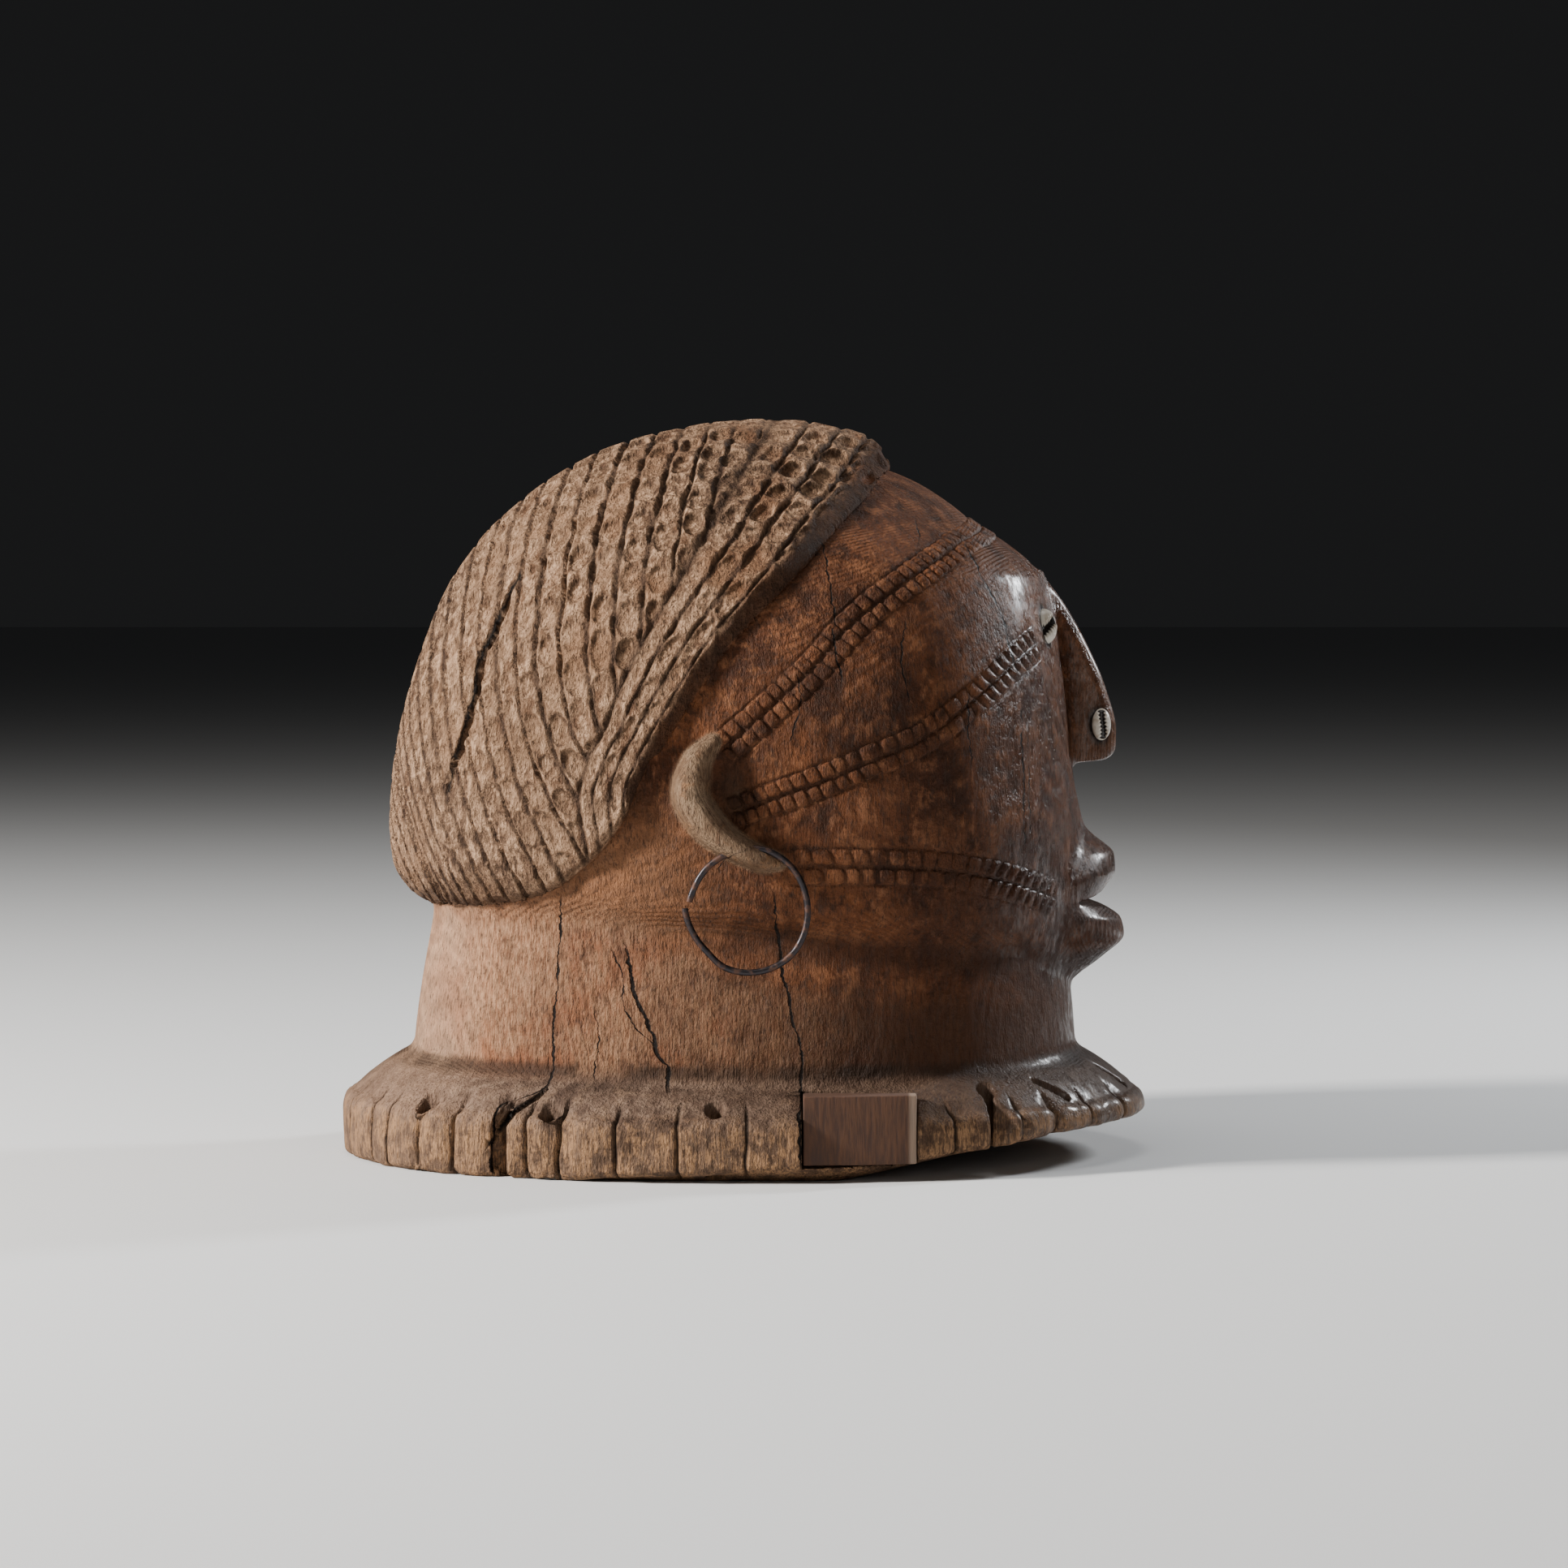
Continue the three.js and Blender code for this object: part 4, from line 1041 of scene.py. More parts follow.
def resin_relief(p):
    """The dark resin round each shell, as a low collar: height and shade."""
    height, shade = np.zeros((2, len(p)))
    for _, centre, _, size, _ in SHELLS:
        near = np.nonzero((np.abs(p - centre) < RESIN_FARTHEST).all(1))[0]
        q = p[near] - centre
        level = np.abs(q[:, 2]) / size[1]
        flat = np.hypot(q[:, 0], q[:, 1]) / size[0]
        ring = (np.hypot(level, flat) - 1) * min(size[:2]) + 0.4 * noise(p[near], 2.2, 90)
        height[near] = np.maximum(height[near], 0.5 * hump(ring, 0.8, 0.9))
        shade[near] = np.maximum(shade[near], ramp(RESIN_REACH, 0.8, ring))
    return height, shade


def tool_marks(p):
    """Shallow facets left by the blade, and the open grain of the neck."""
    return 0.2 * noise(p, 14, 100) + 0.08 * noise(p, [4.0, 4.0, 24.0], 104)


def hair_carving(p, n):
    """The height of the fine carving over the hair at each point, and the masks that colour it."""
    x, y, z = p.T
    hair = hair_mask(x, y, z)
    height, shade = np.zeros((2, len(p)))
    on_top = hair > 0
    height[on_top], shade[on_top] = hair_relief(p[on_top], n[on_top])
    cracks, crack_shade = crack_relief(p)
    height = np.minimum(height, height * 0.3 + cracks) * hair
    return {
        "height": height,
        "hair": hair,
        "border": ramp(FIRST_FRONT_GROOVE + 0.04, FIRST_FRONT_GROOVE - 0.14, share_of_front(x, z)),
        # The groove mask is painted shade in the grooves and dimples
        "groove": shade * hair,
        "crack": crack_shade * hair,
    }


def block_carving(p, n):
    """The height of the fine carving over the block at each point, and the masks that colour it."""
    x, y, z = p.T
    outer = ramp(-6, -2, np.minimum(head_body.distance(x, y, z), neck_body.distance(x, y, z)))
    on_neck = ramp(-4, -1, neck_body.distance(x, y, z))
    outer = np.where(z < COLLAR["all_below"], on_neck, outer)
    bands, band_shade, cover = band_relief(p, n)
    cracks, crack_shade = crack_relief(p)
    rim, rim_shade = rim_relief(p, n)
    resin, resin_shade = resin_relief(p)
    ear = ramp(1.6, 0.2, ear_distance(x, y, z))
    off_ear = 1 - ear
    height = bands * off_ear + rim * outer + resin
    height = height + tool_marks(p) * np.where(cover > 0.1, 0.3, 1)
    ear_hollow = hump(x, EAR_HOLLOW["x"], EAR_HOLLOW["half_length"])
    ear_hollow = ear_hollow * hump(z, EAR_HOLLOW["z"], EAR_HOLLOW["half_height"]) * off_ear * outer
    height = height - EAR_HOLLOW["depth"] * ear_hollow
    height = np.minimum(height, height * 0.3 + cracks * outer)
    return {
        "height": height,
        # The groove mask is painted shade between the raised squares
        "groove": band_shade * off_ear * outer,
        "crack": np.clip(np.maximum(crack_shade, rim_shade) * outer, 0, 1),
        "ear": ear,
        "resin": resin_shade,
        "inside": 1 - outer,
        # The hollow inside the ear's loop, which the wood's material paints in shade
        "ear_hollow": ear_hollow,
    }


def hair_edges(p):
    """How long an edge of the hair may be."""
    wanted = np.where(hair_mask(*p.T) > 0.02, EDGE["row"], EDGE["plain"])
    return np.where(crack_relief(p)[1] > 0.02, EDGE["row_crack"], wanted)


def block_edges(p):
    """How long an edge of the block may be: short where the carving is fine."""
    x, y, z = p.T
    wanted = np.full(len(p), EDGE["plain"])
    wanted[(rim_inset(x, y) < FINE_RIM["inset"]) & (z < FINE_RIM["top"])] = EDGE["rim"]
    for name in BANDS:
        for line, _ in BAND_LINES[name]:
            near = near_line(p, p, line, BANDS[name]["half"] + 1.5)[0]
            wanted[near] = EDGE["band"]
    for start, box in ((nose_ridge(z) - FINE_RIDGE["depth"], FINE_RIDGE), (FINE_LIPS["from_x"], FINE_LIPS)):
        on_face = (x > start) & (z > box["bottom"]) & (z < box["top"]) & (np.abs(y) < box["half_width"])
        wanted[on_face & (wanted > EDGE["face"])] = EDGE["face"]
    outside = head_body.distance(x, y, z) > -4
    wanted[(crack_relief(p)[1] > 0.02) & outside] = EDGE["crack"]
    for _, centre, *_ in SHELLS:
        wanted[(np.abs(p - centre) < 12).all(1)] = EDGE["shell"]
    return wanted


def in_millimetres(box):
    return [np.array(corner) / MM for corner in box]


def plain_mesh(name, points, triangles):
    mesh = bpy.data.meshes.new(name)
    mesh.vertices.add(len(points))
    mesh.vertices.foreach_set("co", (points * MM).astype(np.float32).ravel())
    mesh.loops.add(len(triangles) * 3)
    mesh.loops.foreach_set("vertex_index", triangles.astype(np.int32).ravel())
    mesh.polygons.add(len(triangles))
    mesh.polygons.foreach_set("loop_start", np.arange(0, len(triangles) * 3, 3, dtype=np.int32))
    mesh.update(calc_edges=True)
    mesh.validate()
    return mesh


def add_object(name, data):
    obj = bpy.data.objects.new(name, data)
    bpy.context.scene.collection.objects.link(obj)
    return obj


def apply_modifiers(obj):
    """Turns an object with live modifiers into a plain mesh."""
    evaluated = obj.evaluated_get(bpy.context.evaluated_depsgraph_get())
    mesh = bpy.data.meshes.new_from_object(evaluated)
    obj.modifiers.clear()
    old = obj.data
    obj.data = mesh
    bpy.data.meshes.remove(old)


def shade_smooth(mesh, angle=None):
    mesh.polygons.foreach_set("use_smooth", np.ones(len(mesh.polygons), bool))
    if angle is not None:
        mesh.set_sharp_from_angle(angle=np.radians(angle))
    mesh.update()


def read_mesh(mesh):
    points = np.empty(len(mesh.vertices) * 3, np.float32)
    mesh.vertices.foreach_get("co", points)
    mesh.calc_loop_triangles()
    triangles = np.empty(len(mesh.loop_triangles) * 3, np.int32)
    mesh.loop_triangles.foreach_get("vertices", triangles)
    return points.reshape(-1, 3).astype(float) / MM, triangles.reshape(-1, 3).astype(np.int64)


def set_attribute(mesh, name, values):
    attribute = mesh.attributes.new(name, "FLOAT", "POINT")
    attribute.data.foreach_set("value", values.astype(np.float32))


def carve(name, distance, carving, edges, low, high):
    """One closed carved piece: its plain form, then its fine relief, then fewer triangles."""
    points, triangles = level_mesh(distance, low, high, CELL)
    points = settle(points, distance)
    for _ in range(2):
        points, triangles = split_edges(points, triangles, edges)
    normals = normals_of(points, triangles)
    height = in_chunks(lambda p, n: carving(p, n)["height"], points, normals)
    points = np.clip(points + normals * height[:, None], *in_millimetres(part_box("helmet")))
    obj = add_object(name, plain_mesh("rough " + name, points, triangles))
    obj.modifiers.new("thin", "DECIMATE").ratio = min(1.0, MOST_TRIANGLES / len(triangles))
    apply_modifiers(obj)
    obj.data.name = name
    points, triangles = read_mesh(obj.data)
    masks = in_chunks(carving, points, normals_of(points, triangles))
    del masks["height"]
    for mask, values in masks.items():
        set_attribute(obj.data, mask, values)
    shade_smooth(obj.data)
    return obj


def carve_block():
    low, high = in_millimetres(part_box("helmet"))
    return carve("carved_block", block_distance, block_carving, block_edges, low - MARGIN, high + MARGIN)


def carve_hair():
    return carve("carved_hair", hair_cap_distance, hair_carving, hair_edges, HAIR_LOW, HAIR_HIGH)


# Shells, rings and the inset block
def cowrie(name, centre, facing, size, slit_turn):
    """A small shell with a toothed slit, domed over its place and flat behind."""
    width, length, depth = size
    rings = 34
    steps = 96
    positions = []
    slits = []

    def surface(u, v):
        radius = min(np.hypot(u, v), 1.0)
        dome = (1 - radius ** 2.4) ** 0.55
        swing = 0.1 * np.sin(2.2 * u)
        gap = v - swing
        teeth = 0.5 + 0.5 * np.cos(u * 27)
        open_half = 0.33 + 0.05 * abs(u) - 0.17 * teeth
        slit = np.exp(-(gap / open_half) ** 4) * (1 - ramp(0.8, 0.97, abs(u)))
        lips = hump(abs(gap), 0.44, 0.13) * (1 - ramp(0.7, 0.9, abs(u)))
        rise = dome * (1 - 0.12 * hump(gap, 0, 0.3)) - 0.6 * slit * dome + 0.08 * teeth * lips
        return rise, slit

    turn = np.radians(slit_turn)
    out = Vector(facing).normalized()
    up = Vector((0, 0, 1))
    across = up.cross(out).normalized()
    up = out.cross(across).normalized()
    for i in range(1, rings + 1):
        for j in range(steps):
            angle = 2 * np.pi * j / steps
            r = np.sin(0.5 * np.pi * i / rings)
            du = r * np.cos(angle)
            dv = r * np.sin(angle)
            rise, slit = surface(du, dv)
            a = du * np.cos(turn) - dv * np.sin(turn)
            b = du * np.sin(turn) + dv * np.cos(turn)
            offset = across * (a * width) + up * (b * length) + out * (rise * depth)
            positions.append(Vector(centre) + offset)
            slits.append(slit)
    rise, slit = surface(0, 0)
    positions.append(Vector(centre) + out * (rise * depth))
    slits.append(slit)
    top = len(positions) - 1
    positions.append(Vector(centre) - out * (0.6 * depth))
    slits.append(0.0)
    faces = []
    for j in range(steps):
        k = (j + 1) % steps
        faces.append((top, j, k))
        for i in range(rings - 1):
            a = i * steps
            b = a + steps
            faces.append((a + j, b + j, b + k, a + k))
        last = (rings - 1) * steps
        faces.append((last + k, last + j, top + 1))
    mesh = bpy.data.meshes.new(name)
    mesh.from_pydata([p * MM for p in positions], [], faces)
    set_attribute(mesh, "slit", np.array(slits))
    fix_facing(mesh)
    shade_smooth(mesh)
    return add_object(name, mesh)


def fix_facing(mesh):
    work = bmesh.new()
    work.from_mesh(mesh)
    bmesh.ops.recalc_face_normals(work, faces=work.faces)
    if work.calc_volume(signed=True) < 0:
        bmesh.ops.reverse_faces(work, faces=work.faces)
    work.to_mesh(mesh)
    work.free()


def swept_wire_tree():
    """Sweeps a round wire along the path it is given, a little uneven as if drawn by hand."""
    inputs = {
        "Geometry": (GEOMETRY, None),
        "Wire Radius": (NUMBER, RING["wire"] * MM),
        "Steps": (WHOLE, 220),
        "Sides": (WHOLE, 16),
        "Unevenness": (NUMBER, 0.16),
        "Seed": (WHOLE, SEED),
        "Material": ("NodeSocketMaterial", None),
    }
    group, t, given, out = new_group("swept wire", inputs, {"Geometry": GEOMETRY}, "GeometryNodeTree")
    path = t.node("GeometryNodeMeshToCurve", {"Mesh": given["Geometry"]}).outputs[0]
    path = t.node("GeometryNodeResampleCurve", {"Curve": path, "Count": given["Steps"]}).outputs[0]
    place = t.node("GeometryNodeInputPosition").outputs[0]
    values = {"Vector": place, "W": given["Seed"], "Scale": 130.0, "Detail": 2.0}
    lumps = t.node("ShaderNodeTexNoise", values, noise_dimensions="4D").outputs[0]
    thickness = t.plus(t.times(t.math("SUBTRACT", lumps, 0.5), given["Unevenness"]), 1.0)
    values = {"Resolution": given["Sides"], "Radius": given["Wire Radius"]}
    outline = t.node("GeometryNodeCurvePrimitiveCircle", values).outputs[0]
    values = {"Curve": path, "Profile Curve": outline, "Scale": thickness, "Fill Caps": True}
    swept = t.node("GeometryNodeCurveToMesh", values).outputs[0]
    whole = t.node("GeometryNodeRealizeInstances", {"Geometry": swept}).outputs[0]
    whole = t.node("GeometryNodeSetMaterial", {"Geometry": whole, "Material": given["Material"]}).outputs[0]
    t.give(out["Geometry"], whole)
    return group


def wire_ring(name, side, tree, material):
    """A ring of wire bent by hand, its cut ends a little apart."""
    radius_at = curve(RING_RADIUS)
    path = []
    for i in range(RING_STEPS + 1):
        share = i / RING_STEPS
        degrees = RING["start"] + (RING["end"] - RING["start"]) * share
        angle = np.radians(degrees)
        radius = float(radius_at(degrees)) + 0.1 * np.sin(0.31 * i)
        x = RING["x"] + radius * np.cos(angle)
        y = side * (RING["y"] - RING["lean"] * (share - 0.5))
        path.append(Vector((x, y, RING["z"] + radius * np.sin(angle))) * MM)
    line = bpy.data.meshes.new(name + " path")
    line.from_pydata(path, [(i, i + 1) for i in range(RING_STEPS)], [])
    obj = add_object(name, line)
    modifier = obj.modifiers.new("swept wire", "NODES")
    modifier.node_group = tree
    sockets = {item.name: item.identifier for item in tree.interface.items_tree if item.in_out == "INPUT"}
    modifier[sockets["Wire Radius"]] = RING["wire"] * MM
    modifier[sockets["Material"]] = material
    apply_modifiers(obj)
    obj.data.name = name
    fix_facing(obj.data)
    shade_smooth(obj.data, 50)
    return obj


def inset_block(name):
    """The plain block let into the collar, with softened edges."""
    low, high = in_millimetres(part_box("collar_inset"))
    plan = [(low[0], low[1]), (high[0], low[1] + INSET["skew"]), (high[0], high[1]), (low[0], high[1])]
    corners = [(x, y, z) for z in (low[2], high[2]) for x, y in plan]
    faces = [(3, 2, 1, 0), (4, 5, 6, 7), (0, 1, 5, 4), (1, 2, 6, 5), (2, 3, 7, 6), (3, 0, 4, 7)]
    mesh = bpy.data.meshes.new(name)
    mesh.from_pydata([Vector(c) * MM for c in corners], [], faces)
    work = bmesh.new()
    work.from_mesh(mesh)
    bmesh.ops.bevel(work, geom=work.edges[:], offset=0.9 * MM, segments=3, profile=0.6, affect="EDGES")
    bmesh.ops.subdivide_edges(work, edges=work.edges[:], cuts=3, use_grid_fill=True)
    bmesh.ops.triangulate(work, faces=work.faces[:])
    work.to_mesh(mesh)
    work.free()
    points = np.array([v.co for v in mesh.vertices]) / MM
    push = 0.18 * noise(points, [3.0, 9.0, 22.0], 120) - 0.18
    normal = np.array([v.normal for v in mesh.vertices])
    for vertex, place in zip(mesh.vertices, (points + normal * push[:, None]) * MM):
        vertex.co = place
    fix_facing(mesh)
    shade_smooth(mesh, 40)
    return add_object(name, mesh)


# Materials
NUMBER = "NodeSocketFloat"
WHOLE = "NodeSocketInt"
VECTOR = "NodeSocketVector"
GEOMETRY = "NodeSocketGeometry"


class Tree:
    """A node tree, with short ways to add nodes and join them."""

    def __init__(self, tree):
        self.tree = tree

    def give(self, socket, value):
        """Joins a socket to another one, or sets it to a number or a colour."""
        if isinstance(value, bpy.types.NodeSocket):
            self.tree.links.new(value, socket)
        else:
            socket.default_value = value

    def node(self, kind, values=None, **settings):
        node = self.tree.nodes.new(kind)
        for name, value in settings.items():
            setattr(node, name, value)
        for name, value in (values or {}).items():
            self.give(node.inputs[name], value)
        return node

    def use(self, group, values):
        return self.node("ShaderNodeGroup", values, node_tree=group).outputs

    def attribute(self, name):
        return self.node("ShaderNodeAttribute", attribute_name=name).outputs["Fac"]

    def math(self, operation, a, b=0.0, clamp=False):
        return self.node("ShaderNodeMath", {0: a, 1: b}, operation=operation, use_clamp=clamp).outputs[0]

    def chain(self, operation, values):
        total = values[0]
        for value in values[1:]:
            total = self.math(operation, total, value)
        return total

    def times(self, *values):
        return self.chain("MULTIPLY", values)

    def plus(self, *values):
        return self.chain("ADD", values)

    def most(self, *values):
        return self.chain("MAXIMUM", values)

    def between(self, value, low, high, top=1.0, bottom=0.0):
        """Maps low..high to bottom..top with soft ends."""
        values = {"Value": value, "From Min": low, "From Max": high, "To Min": bottom, "To Max": top}
        return self.node("ShaderNodeMapRange", values, interpolation_type="SMOOTHSTEP").outputs["Result"]

    def mix(self, share, a, b):
        """Goes from one colour to another. Plain colours are (red, green, blue)."""
        a, b = ((*colour, 1.0) if isinstance(colour, tuple) else colour for colour in (a, b))
        return self.node("ShaderNodeMix", {0: share, 6: a, 7: b}, data_type="RGBA").outputs[2]

    def layers(self, colour, *steps):
        """Lays colours over one another: each step is a mask, or what goes to between, and its colour."""
        for *mask, over in steps:
            colour = self.mix(self.between(*mask) if len(mask) > 1 else mask[0], colour, over)
        return colour

    def noise(self, vector, scale, detail=3.0, rough=0.55, kind="Fac"):
        values = {"Vector": vector, "Scale": scale, "Detail": detail, "Roughness": rough}
        return self.node("ShaderNodeTexNoise", values).outputs[kind]

    def stretched(self, vector, x, y, z):
        return self.node("ShaderNodeMapping", {"Vector": vector, "Scale": (x, y, z)}).outputs["Vector"]

    def position(self):
        """The place on the object, and its X, Y and Z, in metres."""
        place = self.node("ShaderNodeTexCoord").outputs["Object"]
        return place, *self.split(place)

    def split(self, vector):
        return self.node("ShaderNodeSeparateXYZ", {0: vector}).outputs[:3]

    def bump(self, height, strength, distance):
        values = {"Height": height, "Strength": strength, "Distance": distance}
        return self.node("ShaderNodeBump", values).outputs["Normal"]

    def finish(self, values):
        """Feeds the Principled shader."""
        for name, value in values.items():
            self.give(self.tree.nodes["Principled BSDF"].inputs[name], value)


def new_group(name, inputs, outputs, kind="ShaderNodeTree"):
    """An empty node group with named sockets: its tree, what comes in, and what goes out."""
    group = bpy.data.node_groups.new(name, kind)
    for socket, (sort, value) in inputs.items():
        item = group.interface.new_socket(socket, in_out="INPUT", socket_type=sort)
        if value is not None:
            item.default_value = value
    for socket, sort in outputs.items():
        group.interface.new_socket(socket, in_out="OUTPUT", socket_type=sort)
    tree = Tree(group)
    return group, tree, tree.node("NodeGroupInput").outputs, tree.node("NodeGroupOutput").inputs


def grain_group():
    """Growth rings about an upright axis, and long fibres along it."""
    inputs = {
        "Position": (VECTOR, None),
        "Ring Pitch": (NUMBER, 0.0011),
        "Wander": (NUMBER, 0.004),
        "Fibre Size": (NUMBER, 900.0),
    }
    outputs = {"Rings": NUMBER, "Fibre": NUMBER, "Pores": NUMBER}
    group, t, given, out = new_group("wood grain", inputs, outputs)

    def vector(operation, values):
        return t.node("ShaderNodeVectorMath", values, operation=operation).outputs

    place = given["Position"]
    drift = t.noise(t.stretched(place, 1, 1, 0.5), 14.0, 2.0, 0.5, "Color")
    drift = vector("SUBTRACT", {0: drift, 1: (0.5, 0.5, 0.5)})[0]
    drift = vector("SCALE", {0: drift, "Scale": given["Wander"]})[0]
    moved = vector("ADD", {0: place, 1: drift})[0]
    x, y, _ = t.split(moved)
    flat = t.node("ShaderNodeCombineXYZ", {0: x, 1: y, 2: 0.0}).outputs[0]
    turns = t.math("DIVIDE", vector("LENGTH", {0: flat})["Value"], given["Ring Pitch"])
    wave = t.math("SINE", t.times(turns, 6.2832))
    pores = t.noise(t.stretched(moved, 1.0, 1.0, 0.11), 1500.0, 2.0, 0.5)
    t.give(out["Rings"], t.between(wave, -0.9, 1.0))
    t.give(out["Fibre"], t.noise(t.stretched(moved, 1.0, 1.0, 0.12), given["Fibre Size"], 3.0, 0.6))
    t.give(out["Pores"], t.between(pores, 0.62, 0.74))
    return group


def low_shade_and_grime_group():
    """Painted shade that fills low places, and dirt that drifts in soft blotches."""
    inputs = {
        "Position": (VECTOR, None),
        "Low Places": (NUMBER, 0.0),
        "Amount": (NUMBER, 0.5),
        "Blotch Size": (NUMBER, 22.0),
    }
    group, t, given, out = new_group("shade_and_grime", inputs, {"Mask": NUMBER})
    blotch = t.noise(given["Position"], given["Blotch Size"], 5.0, 0.62)
    fine = t.noise(given["Position"], 420.0, 3.0, 0.6)
    # Painted shade: the low places are darkened as if in shade
    low = t.times(given["Low Places"], t.between(fine, 0.1, 0.6, 1.0, 0.65))
    spread = t.times(t.between(blotch, 0.48, 0.68), given["Amount"])
    t.give(out["Mask"], t.math("MAXIMUM", low, spread, True))
    return group


def fine_crack_group():
    """A dark line that wanders about a given place along X, between two heights, on one side."""
    inputs = {
        "Position": (VECTOR, None),
        "Place": (NUMBER, 0.0),
        "Half Width": (NUMBER, 0.0004),
        "Low": (NUMBER, 0.0),
        "High": (NUMBER, 0.1),
        "Side": (NUMBER, -1.0),
    }
    group, t, given, out = new_group("fine crack", inputs, {"Mask": NUMBER})
    place = given["Position"]
    x, y, z = t.split(place)
    slow = t.math("SUBTRACT", t.noise(t.stretched(place, 0.2, 0.2, 1), 160.0, 3.0, 0.7), 0.5)
    gap = t.math("ABSOLUTE", t.math("SUBTRACT", t.plus(x, t.times(slow, 0.0042)), given["Place"]))
    uneven = t.between(t.noise(place, 170.0, 2.0, 0.5), 0.35, 0.62, 1.25, 0.35)
    line = t.between(t.math("DIVIDE", gap, t.times(given["Half Width"], uneven)), 1.3, 0.6)
    above = t.between(t.math("SUBTRACT", z, given["Low"]), -0.002, 0.004)
    below = t.between(t.math("SUBTRACT", given["High"], z), -0.002, 0.006)
    on_side = t.math("GREATER_THAN", t.times(y, given["Side"]), 0.01)
    t.give(out["Mask"], t.times(line, on_side, t.times(above, below)))
    return group


GRAIN = grain_group()
FINE_CRACK = fine_crack_group()
LOW_SHADE_AND_GRIME = low_shade_and_grime_group()


def new_material(name):
    material = bpy.data.materials.new(name)
    material.use_nodes = True
    return material, Tree(material.node_tree)


def fine_cracks(t, place, z):
    """All the hairline cracks as one mask. A curve for each turns the height into a place along X."""
    share = t.math("DIVIDE", z, CURVE_HEIGHT)
    masks = []
    for side, half, path in FINE_CRACKS:
        node = t.node("ShaderNodeFloatCurve", {"Value": share})
        line = node.mapping.curves[0]
        points = [(height * MM / CURVE_HEIGHT, x * MM / (2 * CURVE_REACH) + 0.5) for height, x in path]
        points = [(0.0, points[0][1])] * (path[0][0] > 1) + points + [(1.0, points[-1][1])]
        while len(line.points) < len(points):
            line.points.new(0.5, 0.5)
        for target, point in zip(line.points, points):
            target.location = point
        node.mapping.update()
        x = t.times(t.math("SUBTRACT", node.outputs["Value"], 0.5), 2 * CURVE_REACH)
        values = {"Position": place, "Place": x, "Half Width": half * MM, "Low": path[0][0] * MM,
                  "High": path[-1][0] * MM, "Side": float(side)}
        masks.append(t.use(FINE_CRACK, values)["Mask"])
    return t.most(*masks)


